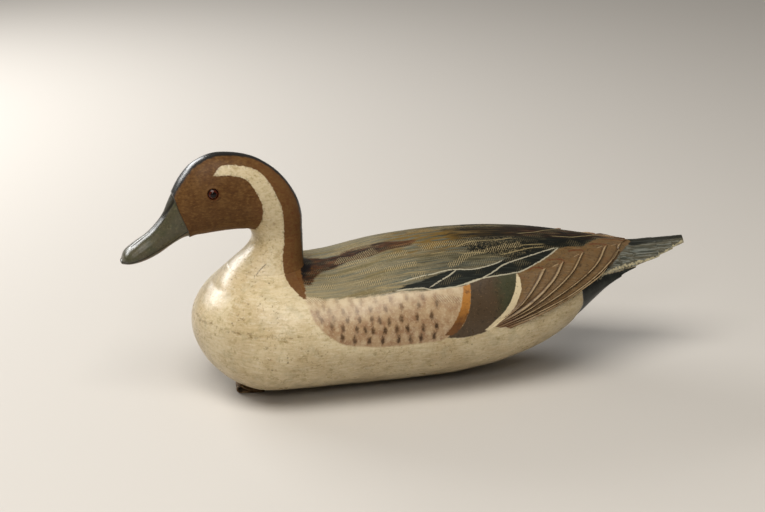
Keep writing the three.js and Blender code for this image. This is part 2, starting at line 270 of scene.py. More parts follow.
# Bands of combed paint, each the middle line of a stretch about 5 mm wide
COMBS = [
    [(108, 3.5), (121, 7.5), (130, 5), (139, 4)],
    [(112, 10), (120, 10.5), (131, 11)],
    [(119, 23), (126, 24), (134, 24.5)],
    [(137, 27), (147, 28), (155, 27), (163, 27.5)],
    [(116, 35), (125, 35.5), (134, 38)],
    [(155, 40), (166, 39)],
    [(184, 34.5), (192, 33), (203, 26), (221, 23.5), (234, 21), (248, 20)],
    [(170, 13), (184, 12), (198, 13), (214, 15)],
    [(88, 30), (98, 32)],
    [(143, 16), (152, 15), (160, 15)],
    [(95, 22), (106, 22)],
    [(76.5, 44), (82, 43), (88, 45)],
    [(168, 60), (180, 62), (187, 64)],
]
OTHER_LINES = {
    "tail_rim": [
        (303, 73), (308, 71), (314, 68.5), (327, 68), (340, 73), (354, 82), (363, 84), (374, 82),
        (386, 71),
    ],
    "neck_crack": [(51, 9.8), (47.8, 9.6), (43.5, 13.5), (42.1, 21.5)],
}
# Dark dabs of the flank, row by row
DABS = [
    (86, 51), (97, 46), (107, 48.5), (114, 51), (125, 52), (136, 54), (148, 55.5), (160, 57), (81, 56),
    (90, 56), (100, 57), (110, 58), (120, 59), (131, 61), (143, 62), (156, 63), (170, 64), (83, 63),
    (92, 63.5), (102, 65), (111, 66.5), (120, 67.5), (125.6, 70), (132.6, 72), (142, 71.4), (154, 72),
    (165, 72.5), (90, 69.5), (98, 72), (108, 74), (114.5, 76), (120, 77.5), (129, 79), (138, 79),
    (146, 79.5), (158, 80.5), (168, 80.5), (97, 80), (106, 83), (117, 85), (127, 86), (139, 86.5),
    (148, 87.6), (156, 87.2), (166, 86.6),
]
DAB_HALVES = (1.3, 2.8)
SAMPLES_PER_SPAN = 6
FAR = 14  # beyond this an outline's distance is not measured

# Painted areas of the head, as x and z in its side view
WHITE = [
    (15.8, 169.8), (17.2, 172.2), (19.6, 174.6), (22.6, 176.2), (27.5, 176.5), (34.7, 175.5),
    (43.5, 173.4), (51.3, 168.6), (57.6, 160.6), (62.2, 150.5), (65.5, 141.3), (66.7, 128.6),
    (66.7, 116.2), (65.2, 107.6), (64.3, 100.4), (64.5, 94.5), (66, 89.6), (69, 86.4), (73.4, 83),
    (82, 82), (82, 60), (60, 60), (0, 60), (0, 100), (20, 112), (30, 120.6), (42.3, 122.6), (44.3, 124.6),
    (46.4, 125.4), (48.9, 130.8), (50.9, 138.6), (50.6, 145), (47.7, 153.1), (44.4, 159.4), (39.6, 165.4),
    (33.9, 168.4), (24.3, 170),
]
CROWN_WIDTHS = [
    [0, 10.5], [2, 10.5], [4, 9.5], [5.2, 8], [5.9, 6.4], [6.6, 5.2], [7.4, 5], [8.4, 5.8], [9.4, 7.4],
    [10.7, 7], [16, 7],
]
CULMEN_LINE = [(-12.4, 150.5), (-14.3, 147.2), (-21.9, 136.1), (-29.8, 127.1), (-38, 120.8), (-44.2, 116.3)]
GAPE_LINE = [
    (-3.4, 127.6), (-11.4, 121.8), (-16.4, 118.7), (-26.6, 113.6), (-33.9, 110.2), (-41.5, 107.6),
    (-49, 106.2),
]
NECK_CRACK_ABOVE = [(52, 101.5), (47, 98), (43.2, 94.2)]


def hermite(u, start, end, leave, arrive):
    """Cubic from start to end that leaves and arrives with those slopes."""
    near = 2 * u**3 - 3 * u**2 + 1
    return near * start + (1 - near) * end + (u**3 - 2 * u**2 + u) * leave + (u**3 - u**2) * arrive


def curve_through(rows):
    """Values between the rows of a table along one smooth curve: each row starts with its place."""
    rows = np.array(rows, float)
    runs = np.diff(rows[:, :1], axis=0)
    slopes = np.diff(rows, axis=0) / runs
    inner = (slopes[:-1] * runs[1:] + slopes[1:] * runs[:-1]) / (runs[:-1] + runs[1:])
    tangents = np.vstack([slopes[:1], inner, slopes[-1:]])

    def at(place):
        place = np.asarray(place, float)
        i = np.clip(np.searchsorted(rows[:, 0], place, side="right") - 1, 0, len(runs) - 1)
        u = (place[..., None] - rows[i, :1]) / runs[i]
        found = hermite(u, rows[i], rows[i + 1], tangents[i] * runs[i], tangents[i + 1] * runs[i])
        return np.moveaxis(found[..., 1:], -1, 0)

    return at


body_at = curve_through(BODY_STATIONS)
head_at = curve_through(HEAD_STATIONS)


def signed_power(value, power):
    return np.sign(value) * np.abs(value) ** power


def blend_step(value, low, high):
    """Smooth rise from 0 at low to 1 at high."""
    t = np.clip((value - low) / (high - low), 0, 1)
    return t * t * (3 - 2 * t)


def hump(value, width):
    """1 at zero, falling away on both sides over that width."""
    return np.exp(-((value / width) ** 2))


def steps_of(points, axis=0):
    """Lengths from each point of a line or grid to the next."""
    return np.linalg.norm(np.diff(points, axis=axis), axis=-1)


def running_sum(steps):
    """Sums along the first axis, from zero."""
    return np.concatenate([np.zeros_like(steps[:1]), np.cumsum(steps, axis=0)])


def unit(vectors):
    return vectors / np.maximum(np.linalg.norm(vectors, axis=-1, keepdims=True), 1e-9)


def breast_swell(x, length, power):
    left = 1 - np.minimum(x / length, 1)
    return (1 - left**power) ** (1 / power)


def tail_notch(x):
    ends = np.array([TAIL_START, *TAIL_NOTCHES, TAIL_TIP], float)
    i = np.clip(np.searchsorted(ends, x), 1, len(ends) - 1)
    return np.where(x > TAIL_START, NOTCH_DEPTH * (x - ends[i - 1]) / (ends[i] - ends[i - 1]), 0)


def body_form(x, angle):
    """Points of the body before it is carved. Angles are degrees from the ridge, below zero on the left."""
    x, angle = np.broadcast_arrays(np.asarray(x, float), np.asarray(angle, float))
    ridge, keel, wide, half, above, below = body_at(x)
    turn = np.radians(angle)
    over = np.cos(turn) >= 0
    power = 2 / np.where(over, above, below)
    reach = np.where(over, ridge - wide, wide - keel)
    width = half * breast_swell(x, BREAST_PLAN_LENGTH, BREAST_PLAN_POWER) + tail_notch(x)
    height = breast_swell(x, BREAST_LENGTH, BREAST_POWER)
    y = width * signed_power(np.sin(turn), power)
    z = wide + height * reach * signed_power(np.cos(turn), power)
    return np.stack([x, y, z], -1)


def body_normal(x, angle, step=0.5):
    along = body_form(x + step, angle) - body_form(x - step, angle)
    return unit(np.cross(along, body_form(x, angle + step) - body_form(x, angle - step)))


def face_swell(station):
    rise = (station - CHEEK_STATION) / (BILL_STATION - CHEEK_STATION)
    return np.where((rise > 0) & (rise < 1), 1 + FACE_LEDGE * rise**2, 1)


def head_form(station, angle, swell=1):
    """Points of the head before it is carved. Angles run from the crown or nape, below zero on the left."""
    station, angle = np.broadcast_arrays(np.asarray(station, float), np.asarray(angle, float))
    throat_x, throat_z, nape_x, nape_z, half, power = head_at(station)
    turn = np.radians(angle)
    along = signed_power(np.cos(turn), 2 / power) * swell / 2
    x = (throat_x + nape_x) / 2 + along * (nape_x - throat_x)
    y = half * swell * signed_power(np.sin(turn), 2 / power)
    z = (throat_z + nape_z) / 2 + along * (nape_z - throat_z)
    return np.stack([x, y, z], -1)


def neck_height(x, y):
    """Height of the neck's flare over a point in plan."""
    stations = np.linspace(HEAD_STATIONS[0][0], SEAT_STATION, 41)
    throat_x, throat_z, nape_x, _, half, power = head_at(stations)
    reach = (nape_x - throat_x) / 2
    out = np.abs((x[..., None] - throat_x - reach) / reach) ** power + np.abs(y[..., None] / half) ** power
    inside = (out < 1).sum(-1)
    i = np.clip(inside - 1, 0, len(stations) - 2)
    here, there = (np.take_along_axis(out, j[..., None], -1)[..., 0] for j in (i, i + 1))
    share = np.clip((1 - here) / (there - here), 0, 1)
    fall = NECK_FALL * np.maximum(out[..., 0] - 1, 0)
    return np.where(inside == 0, throat_z[0] - fall, throat_z[i] + share * (throat_z[i + 1] - throat_z[i]))


def hand_cut(points, size):
    """Shallow unevenness that a hand-cut and sanded surface keeps, from -1 to 1, over about that size."""
    total = 0
    for k, way in enumerate(CUT_WAYS):
        total = total + np.sin((points @ np.array(way)) * (2 * math.pi / size) * (1 + 0.13 * k) + 1.7 * k)
    return total / len(CUT_WAYS)


class Girth:
    """Length along the body's rings from the ridge, so that paint is laid out in millimetres."""

    angles = np.linspace(0, 180, 361)
    places = np.concatenate([np.linspace(0.01, 20, 41), np.arange(21.0, TAIL_TIP + 1)])

    def __init__(self):
        self.lengths = running_sum(steps_of(body_form(self.places[:, None], self.angles), axis=1).T).T

    def at(self, x, angle):
        """Signed length down the ring at x to an angle."""
        x, angle = np.broadcast_arrays(np.asarray(x, float), np.asarray(angle, float))
        full = (angle + 180) % 360 - 180
        x = np.clip(x, self.places[0], self.places[-1])
        i = np.clip(np.searchsorted(self.places, x, side="right") - 1, 0, len(self.places) - 2)
        u = (x - self.places[i]) / (self.places[i + 1] - self.places[i])
        place = np.abs(full) / self.angles[1]
        j = np.clip(place.astype(int), 0, len(self.angles) - 2)
        v = place - j
        low, high = (self.lengths[k, j] * (1 - v) + self.lengths[k, j + 1] * v for k in (i, i + 1))
        return np.where(full < 0, -1, 1) * (low * (1 - u) + high * u)


girth = Girth()


def smooth_path(points):
    """Points along a smooth curve through a few, which never swings out past them."""
    points = np.array(points, float)
    slopes = np.diff(points, axis=0)
    before, after = slopes[:-1], slopes[1:]
    total = np.where(before + after == 0, 1, before + after)
    inner = np.where(before * after > 0, 2 * before * after / total, 0)
    tangents = np.vstack([slopes[:1], inner, slopes[-1:]])
    u = (np.arange(SAMPLES_PER_SPAN) / SAMPLES_PER_SPAN)[:, None]
    spans = (ends[:, None] for ends in (points[:-1], points[1:], tangents[:-1], tangents[1:]))
    return np.vstack([hermite(u, *spans).reshape(-1, 2), points[-1:]])


def laid_out(points):
    """Points given as x and girth degrees, as x and girth length."""
    path = smooth_path(points)
    return np.stack([path[:, 0], girth.at(path[:, 0], path[:, 1])], -1)


def area_outline(points):
    """The same for an area, which is carried past the ridge and the keel where it reaches them."""
    angles = smooth_path(points)[:, 1]
    outline = laid_out(points)
    outline[:, 1] += np.where(angles >= 179, FAR, 0) - np.where(angles <= 0, FAR, 0)
    return outline


def nearest_on(path, places, closed):
    """For each place: distance to the path, signed distance across it, and length along it."""
    starts = path if closed else path[:-1]
    runs = (np.roll(path, -1, axis=0) if closed else path[1:]) - starts
    lengths = np.linalg.norm(runs, axis=1)
    keep = lengths > 1e-6
    starts, runs, lengths = starts[keep], runs[keep], lengths[keep]
    off = places[:, None, :] - starts
    share = (off * runs).sum(-1) / lengths**2
    distance = np.linalg.norm(off - np.clip(share, 0, 1)[..., None] * runs, axis=-1)
    best = distance.argmin(1)
    rows = np.arange(len(places))
    across = (runs[best, 0] * off[rows, best, 1] - runs[best, 1] * off[rows, best, 0]) / lengths[best]
    low, high = np.where(best == 0, -np.inf, 0), np.where(best == len(lengths) - 1, np.inf, 1)
    along = running_sum(lengths)[best] + np.clip(share[rows, best], low, high) * lengths[best]
    return distance[rows, best], across, along


def near_box(path, places):
    return ((places > path.min(0) - FAR) & (places < path.max(0) + FAR)).all(1)


def area_distance(outline, places):
    """Distance to a closed outline, below zero inside it."""
    found = np.full(len(places), float(FAR))
    near = near_box(outline, places)
    x, y = places[near].T[..., None]
    distance, _, _ = nearest_on(outline, places[near], True)
    (x0, y0), (x1, y1) = outline.T, np.roll(outline, -1, axis=0).T
    height = np.where(y1 == y0, 1e-9, y1 - y0)
    meets = x0 + (y - y0) * (x1 - x0) / height
    inside = (((y0 > y) != (y1 > y)) & (x < meets)).sum(1) % 2 == 1
    found[near] = np.where(inside, -distance, distance)
    return np.clip(found, -FAR, FAR)


def line_place(path, places):
    """Signed distance across a brush line, length past the nearer of its ends, and length along it."""
    found = np.full((len(places), 3), (FAR, -FAR, 0.0))
    near = near_box(path, places)
    if near.any():
        _, across, along = nearest_on(path, places[near], False)
        found[near] = np.stack([across, np.minimum(along, steps_of(path).sum() - along), along], -1)
    return np.clip(found, -FAR, None)


def nearest_line(paths, places):
    """The same for the nearest of some lines, with the plain distance first."""
    found = np.full((len(places), 3), float(FAR))
    for path in paths:
        placed = line_place(laid_out(path), places)
        placed[:, 0] = np.abs(placed[:, 0]) + np.maximum(-placed[:, 1], 0)
        closer = placed[:, 0] < found[:, 0]
        found[closer] = placed[closer]
    return found


def dab_distance(places):
    """How far out of the nearest dab a place lies: 1 at its edge."""
    found = np.full(len(places), 6.0)
    for x, angle in DABS:
        away = (places - (x, girth.at(x, angle))) / DAB_HALVES
        found = np.minimum(found, np.hypot(away[:, 0], away[:, 1]))
    return found


def white_distance(points):
    """Distance to the white of the head and neck in the side view, below zero inside it."""
    return area_distance(smooth_path(WHITE), points[:, [0, 2]])


def body_layers(points, x, spread):
    """Paint values for places on the body: x, and signed girth length."""
    both = np.stack([x, np.abs(spread)], -1)
    signed = np.stack([x, spread], -1)
    layers = {name: area_distance(area_outline(outline), both) for name, outline in AREAS.items()}
    layers |= {name: area_distance(laid_out(outline), signed) for name, outline in ONE_SIDED.items()}
    for lines, places in ((WHITE_LINES | THIN_LINES | OTHER_LINES, both), (ONE_SIDED_LINES, signed)):
        layers |= {name: line_place(laid_out(path), places) for name, path in lines.items()}
    return layers | {
        "unrolled": np.stack([x, spread, np.zeros_like(x)], -1),
        "combs": nearest_line(COMBS, both),
        "hooks": nearest_line(HOOKS, both),
        "dab": dab_distance(both),
        "white": white_distance(points),
    }


# Meshes
def new_mesh(name, points, faces, layers):
    """Mesh of a closed skin, with its faces turned outwards."""
    first, second, third = (points[[face[i] for face in faces]] for i in range(3))
    if (first * np.cross(second, third)).sum() < 0:
        faces = [face[::-1] for face in faces]
    mesh = bpy.data.meshes.new(name)
    mesh.from_pydata(((points + (TO_ROW_X, 0, 0)) * MM).tolist(), [], faces)
    for layer, values in layers.items():
        kind, field = ("FLOAT_VECTOR", "vector") if values.ndim == 2 else ("FLOAT", "value")
        attribute = mesh.attributes.new(layer, kind, "POINT")
        attribute.data.foreach_set(field, values.astype(np.float32).ravel())
    return mesh


def closed_skin(name, grid, start, end, layers_at=None):
    """Mesh of a tube-like grid closed by a point at each end."""
    rows, columns = grid.shape[:2]
    points = np.vstack([grid.reshape(-1, 3), [start], [end]])
    here = np.arange(rows * columns).reshape(rows, columns)
    beside = np.roll(here, -1, axis=1)
    faces = np.stack([here[:-1], beside[:-1], beside[1:], here[1:]], -1).reshape(-1, 4).tolist()
    first, last = rows * columns, rows * columns + 1
    faces += [[first, b, a] for a, b in zip(here[0].tolist(), beside[0].tolist())]
    faces += [[last, a, b] for a, b in zip(here[-1].tolist(), beside[-1].tolist())]
    return new_mesh(name, points, faces, layers_at(points) if layers_at else {})


def grid_normals(grid):
    """Outward normals of a grid whose columns close on themselves."""
    around = np.roll(grid, -1, axis=1) - np.roll(grid, 1, axis=1)
    normal = unit(np.cross(np.gradient(grid, axis=0), around))
    return normal * np.sign((normal * (grid - grid.mean(1, keepdims=True))).sum())


def evenly(fine, steps, count, endpoint=True):
    """Values spaced evenly by the lengths of the steps between fine ones."""
    run = running_sum(steps)
    return np.interp(np.linspace(0, run[-1], count, endpoint=endpoint), run, fine)


def even_angles(form, place, count, weight=None):
    """Angles round one ring, evenly spaced by length, or closer together where weight is larger."""
    fine = np.linspace(-180, 180, 721)
    steps = steps_of(form(np.full(fine.shape, place), fine))
    if weight is not None:
        steps = steps * weight(place, (fine[1:] + fine[:-1]) / 2)
    return evenly(fine, steps, count, endpoint=False)


# Body
def body_places():
    breast_turns = np.linspace(0, math.pi / 2, 86)[1:]
    breast = BREAST_PLAN_LENGTH * (1 - np.cos(breast_turns))
    trunk = np.arange(BREAST_PLAN_LENGTH + BODY_STEP, TAIL_TIP - 0.5, BODY_STEP)
    notches = [x + run for x in TAIL_NOTCHES for run in (0, NOTCH_RUN)]
    clear = [x for x in trunk if min(abs(x - n) for n in notches) > NOTCH_RUN / 2]
    return np.sort(np.concatenate([breast, clear, notches, [TAIL_TIP]]))


def body_relief(points, x, angle, spread):
    """How far the carving stands out of the plain form: uneven skin, a rump set in and a grooved tail."""
    places = np.stack([x, np.abs(spread)], -1).reshape(-1, 2)
    rump = area_distance(area_outline(AREAS["rump"]), places).reshape(x.shape)
    relief = 0.14 * hand_cut(points, 34) + 0.05 * hand_cut(points, 13)
    relief -= RUMP_INSET * blend_step(rump, 1.5, -1.5) * blend_step(x, 345, 325)
    on_tail = blend_step(x, 330, 345) * (np.abs(angle) < 80)
    relief -= TAIL_GROOVE * on_tail * np.cos(np.radians(np.abs(angle)) * TAIL_GROOVES) ** 8
    return relief * blend_step(x, 0, 6) * blend_step(x, TAIL_TIP, TAIL_TIP - 4)


def body_mesh():
    places = body_places()
    angle = np.array([even_angles(body_form, x, BODY_COLUMNS) for x in places])
    x = np.repeat(places[:, None], BODY_COLUMNS, axis=1)
    spread = girth.at(x, angle)
    grid = body_form(x, angle)
    grid += grid_normals(grid) * body_relief(grid, x, angle, spread)[..., None]
    height = grid[..., 2]
    neck = neck_height(grid[..., 0], grid[..., 1])
    close = np.maximum(NECK_FILLET - np.abs(height - neck), 0) / NECK_FILLET
    joined_height = np.maximum(height, neck) + close**2 * NECK_FILLET / 4
    by_neck = (grid[..., 0] < BEHIND_NECK) & (np.abs(angle) < 85)
    height = np.where(by_neck, np.minimum(joined_height, SHELF_Z - SEAT_GAP / 2), height)
    grid[..., 2] = np.maximum(height, 0)
    flat_x = np.concatenate([x.ravel(), [0, TAIL_TIP]])
    flat_spread = np.concatenate([spread.ravel(), [0, 0]])
    start = (0, 0, BODY_STATIONS[0][3])
    end = grid[-1].mean(0)
    return closed_skin("body", grid, start, end, lambda points: body_layers(points, flat_x, flat_spread))


# Shingled primaries
def wing_mesh(side):
    """Plates of one wing's primaries, each from the edge before it to its own raised rear edge."""
    t = np.linspace(0, len(FEATHER_EDGES[0]) - 1, FEATHER_ROWS)
    edges = np.array([curve_through([[i, *p] for i, p in enumerate(edge)])(t) for edge in FEATHER_EDGES])
    feathers = np.arange(len(edges) - 1)
    middle = np.linspace(0.1, 0.86, FEATHER_COLUMNS - 6)
    shares = np.concatenate([[0.03], middle, [0.91, 0.95, 0.975, 0.99, 1]])
    plates = edges[:-1, :, None] + np.diff(edges, axis=0)[:, :, None] * shares[:, None]
    x, angle = plates.transpose(1, 3, 0, 2).reshape(2, FEATHER_ROWS, -1)
    angle = angle * side
    rest = np.where(feathers == 0, 0, FEATHER_REST)[:, None]
    rear_lift = np.where(feathers == feathers[-1], WING_END_LIFT, FEATHER_LIFT)[:, None]
    lift = (rest + (rear_lift - rest) * shares**1.3).ravel()
    form = body_form(x, angle)
    normal = body_normal(x, angle)
    widths = steps_of(form.reshape(FEATHER_ROWS, len(feathers), -1, 3), axis=2)
    rear = np.zeros((FEATHER_ROWS, len(feathers), FEATHER_COLUMNS))
    rear[..., :-1] = widths[..., ::-1].cumsum(-1)[..., ::-1]
    rear = rear.reshape(x.shape)
    tip = running_sum(steps_of(form))
    root = tip[-1:] - tip
    past_root = blend_step(root, 0, 25)
    lip = LIP * hump(rear - 1.1, 0.8) * past_root
    hollow = HOLLOW * hump(rear - 3.2, 1.4) * past_root
    settle = (blend_step(root, 0, 22) * 0.85 + 0.15) * (1 - 0.75 * blend_step(np.abs(angle), 40, 18))
    uneven = 0.1 * hand_cut(form, 21) + 0.04 * hand_cut(form, 8)
    top = form + normal * (lift * settle + lip - hollow + uneven)[..., None]
    points = np.concatenate([top.reshape(-1, 3), (form - normal * PLATE_ROOT).reshape(-1, 3)])
    grid = np.arange(x.size).reshape(x.shape)
    quads = np.stack([grid[:-1, :-1], grid[:-1, 1:], grid[1:, 1:], grid[1:, :-1]], -1).reshape(-1, 4)
    rim = np.concatenate([grid[0, :-1], grid[:-1, -1], grid[-1, :0:-1], grid[:0:-1, 0]])
    following = np.roll(rim, -1)
    wall = np.stack([rim + x.size, following + x.size, following, rim], -1)
    faces = np.concatenate([quads, quads[:, ::-1] + x.size, wall]).tolist()
    number = np.broadcast_to(np.repeat(feathers, FEATHER_COLUMNS), x.shape) + WING_APART * (side > 0)
    columns = (x, girth.at(x, angle), rear, tip, root, number)
    x, spread, rear, tip, root, number = (np.tile(values.ravel(), 2) for values in columns)
    layers = body_layers(points, x, spread)
    layers["feather"] = np.stack([rear, tip, root], -1)
    layers["feather_number"] = number
    return new_mesh("wing", points, faces, layers)


def half_of(mesh, height, above):
    """The part of a closed mesh over or under a height, closed again by a flat face."""
    form = bmesh.new()
    form.from_mesh(mesh)
    cut = bmesh.ops.bisect_plane(
        form,
        geom=form.verts[:] + form.edges[:] + form.faces[:],
        dist=1e-7,
        plane_co=(0, 0, height * MM),
        plane_no=(0, 0, 1),
        clear_inner=above,
        clear_outer=not above,
    )
    edges = [e for e in cut["geom_cut"] if isinstance(e, bmesh.types.BMEdge) and e.is_boundary]
    bmesh.ops.holes_fill(form, edges=edges, sides=0)
    half = bpy.data.meshes.new(mesh.name)
    form.to_mesh(half)
    form.free()
    return half


def add_object(name, data):
    made = bpy.data.objects.new(name, data)
    bpy.context.scene.collection.objects.link(made)
    return made


def carved_piece(name, mesh, node, materials):
    """Object of a finished mesh that stands for a node of the part."""
    mesh.name = name
    for material in materials[len(mesh.materials):]:
        mesh.materials.append(material)
    mesh.polygons.foreach_set("use_smooth", [True] * len(mesh.polygons))
    mesh.set_sharp_from_angle(angle=math.radians(SHARP_DEGREES))
    piece = add_object(name, mesh)
    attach(piece, "root")
    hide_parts(node)


def joined(meshes, name):
    """One mesh of several, the later ones with the second material."""
    objects = []
    for i, mesh in enumerate(meshes):
        mesh.polygons.foreach_set("material_index", [min(i, 1)] * len(mesh.polygons))
        objects.append(add_object(name, mesh))
    first = objects[0]
    with bpy.context.temp_override(active_object=first, object=first, selected_editable_objects=objects):
        bpy.ops.object.join()
    mesh = first.data
    bpy.data.objects.remove(first)
    return mesh


def make_body(materials):
    closed = [body_mesh(), wing_mesh(-1), wing_mesh(1)]
    for name, above in (("body_upper", True), ("body_lower", False)):
        height = SEAM_Z + (SEAM_GAP / 2 if above else -SEAM_GAP / 2)
        parts = [half_of(mesh, height, above) for mesh in closed]
        for part in parts:
            for material in materials:
                part.materials.append(material)
        carved_piece("decoy_" + name, joined(parts, name), name, materials)


# Head
def eye_centre(side):
    return head_form(EYE_STATION, EYE_ANGLE * side) - np.array([0, side * EYE_INSET, 0])


def head_places():
    """Stations close enough together for even steps along the crown and the throat."""
    fine = np.linspace(SEAT_STATION, HEAD_STATIONS[-1][0], 3000)
    crown, throat = (head_form(fine, angle, face_swell(fine)) for angle in (0, 180))
    steps = np.maximum(steps_of(crown), steps_of(throat))
    steps *= 1 + 0.7 * hump((fine[1:] + fine[:-1]) / 2 - EYE_STATION, 0.35)
    places = evenly(fine, steps, int(running_sum(steps)[-1] / HEAD_STEP))
    places = places[np.abs(places - BILL_STATION) > 3 * LEDGE_RUN]
    return np.sort(np.concatenate([places, [BILL_STATION - LEDGE_RUN, BILL_STATION]]))


def by_eye(station, angle):
    """More columns round the eye."""
    return 1 + 1.6 * hump(station - EYE_STATION, 0.6) * hump(np.abs(angle) - EYE_ANGLE, 14)


def round_head_form(station, angle):
    return head_form(station, angle, face_swell(station))


def lean_of_face(station, angle):
    """Stations leaned back under the cheek, where the edge of the face runs steeper than the rings."""
    return station - FACE_LEAN * hump(station - BILL_STATION, 0.8) * blend_step(np.abs(angle), 60, 150)


def side_line(path, points):
    """Place of points along a line of the side view, as line_place gives it."""
    return line_place(smooth_path(path), points.reshape(-1, 3)[:, [0, 2]]).reshape(*points.shape[:-1], 3)


def from_eye(side, points):
    """Distance from the middle of an eye in the side view."""
    centre = eye_centre(side)
    return np.hypot(points[..., 0] - centre[0], points[..., 2] - centre[2])


def head_mesh():
    places = head_places()
    angle = np.array([even_angles(round_head_form, s, HEAD_COLUMNS, by_eye) for s in places])
    station = np.repeat(places[:, None], HEAD_COLUMNS, axis=1)
    grid = head_form(lean_of_face(station, angle), angle, face_swell(station))
    relief = 0.12 * hand_cut(grid, 27) + 0.04 * hand_cut(grid, 11)
    relief *= blend_step(grid[..., 2] - SHELF_Z, 0, 5)
    on_bill = station > BILL_STATION
    culmen, gape = side_line(CULMEN_LINE, grid), side_line(GAPE_LINE, grid)
    beside = on_bill * blend_step(np.abs(angle), 3, 12)
    relief -= beside * CULMEN_GROOVE * hump(culmen[..., 0], 0.8) * blend_step(culmen[..., 1], -3, 2)
    relief -= on_bill * GAPE_GROOVE * hump(gape[..., 0], 0.6) * blend_step(gape[..., 1], -2, 1)
    for side in (-1, 1):
        out = from_eye(side, grid)
        hole = blend_step(out, EYE_SOCKET + 0.35, EYE_SOCKET - 0.25)
        lid = hump(out - EYE_SOCKET - 1, 0.8)
        relief += (grid[..., 1] * side > 0) * (LID_HEIGHT * lid - SOCKET_DEPTH * hole)
    grid = grid + grid_normals(grid) * relief[..., None]
    seat = SHELF_Z + SEAT_GAP / 2
    grid[..., 2] = np.where(station <= SEAT_STATION + 1e-6, seat, np.maximum(grid[..., 2], seat))
    tip = np.array(BILL_TIP)
    middle = grid[-1].mean(0)
    ends = [middle + (grid[-1] - middle) * math.cos(t) + (tip - middle) * math.sin(t) for t in TIP_TURNS]
    grid = np.concatenate([grid, ends])
    last_station = HEAD_STATIONS[-1][0]
    on_ends = np.full(len(ends) * HEAD_COLUMNS, last_station)
    stations = np.concatenate([station.ravel(), on_ends, [SEAT_STATION, last_station]])
    angles = np.concatenate([angle.ravel(), np.tile(angle[-1], len(ends)), [0, 0]])

    def layers(points):
        above = np.cos(np.radians(angles)) > 0
        above[-2:] = False
        left = points[:, 1] < 0
        return {
            "white": white_distance(points),
            "crown": np.where(above, np.abs(points[:, 1]) - curve_through(CROWN_WIDTHS)(stations)[0], FAR),
            "bill": -np.clip((stations - BILL_STATION) * 14, -FAR, FAR),
            "eye": np.minimum(np.where(left, from_eye(-1, points), from_eye(1, points)), FAR),
            "culmen": side_line(CULMEN_LINE, points),
            "gape": side_line(GAPE_LINE, points),
            "neck_crack": line_place(np.array(NECK_CRACK_ABOVE), points[:, [0, 2]]),
            "down_side": np.abs(angles),
        }

    return closed_skin("head", grid, grid[0].mean(0), tip, layers)


def eye_mesh(side):
    """Ball with its axis through the pupil."""
    centre = eye_centre(side)
    turn = np.linspace(0, math.pi, EYE_RINGS + 1)[1:-1, None]
    spin = np.linspace(0, 2 * math.pi, EYE_COLUMNS, endpoint=False)
    out = np.sin(turn)
    ball = np.broadcast_arrays(out * np.cos(spin), side * np.cos(turn), -side * out * np.sin(spin))
    pole = np.array([0, side * EYE_RADIUS, 0])

    def layers(points):
        return {"gaze": np.where((points[:, 1] - centre[1]) * side > 0, from_eye(side, points), EYE_RADIUS)}

    return closed_skin("eye", centre + EYE_RADIUS * np.stack(ball, -1), centre + pole, centre - pole, layers)


# Line tie
def tie_mesh():
    """Folded strip: a rounded section swept along the fold."""
    layer, eye, length, closed = TIE["thick"], TIE["eye"], TIE["length"], TIE["closed"]
    loop = eye + layer / 2
    centre = eye + layer
    upper_z = 1.56 * layer
    turns = np.linspace(-math.pi / 2, -3 * math.pi / 2, 24)
    bend = np.stack([centre + loop * np.cos(turns), centre + loop * np.sin(turns)], -1)
    lower = np.stack([np.linspace(length, centre + 1, 16), np.full(16, layer / 2)], -1)
    half_way = [1, (centre + closed) / 2, centre + 0.2]
    fall = curve_through([[0, centre + 1, centre + loop], half_way, [2, closed, upper_z]])
    upper = np.stack([np.linspace(closed + 1, length - 0.6, 12), np.full(12, upper_z)], -1)
    path = np.concatenate([lower, bend, np.stack(fall(np.linspace(0, 2, 14)), -1), upper])
    forward = unit(np.gradient(path, axis=0))
    spin = np.linspace(0, 2 * math.pi, 36, endpoint=False)
    wide = signed_power(np.cos(spin), 0.25) * TIE["width"] / 2
    thick = signed_power(np.sin(spin), 0.35) * layer / 2
    rough = 1 - 0.06 * np.sin(7 * spin + 2) * (np.abs(np.sin(spin)) < 0.5)
    x = path[:, :1] - forward[:, 1:] * thick
    z = path[:, 1:] + forward[:, :1] * thick
    y = wide * rough * (1 + 0.03 * np.sin(path[:, :1] * 0.9 + np.sign(wide) * 1.3))
    turn = math.radians(TIE["turn"])
    grid = np.stack([x * math.cos(turn) - y * math.sin(turn), x * math.sin(turn) + y * math.cos(turn), z], -1)
    grid += (TIE["x"], TIE["y"], TIE["clear"])
    return closed_skin("tie", grid, grid[0].mean(0), grid[-1].mean(0))


# Paint
def srgb(r, g, b):
    """Linear colour of a paint given in the usual 0 to 255."""
    linear = [c / 255 / 12.92 if c <= 10 else ((c / 255 + 0.055) / 1.055) ** 2.4 for c in (r, g, b)]
    return (*linear, 1)


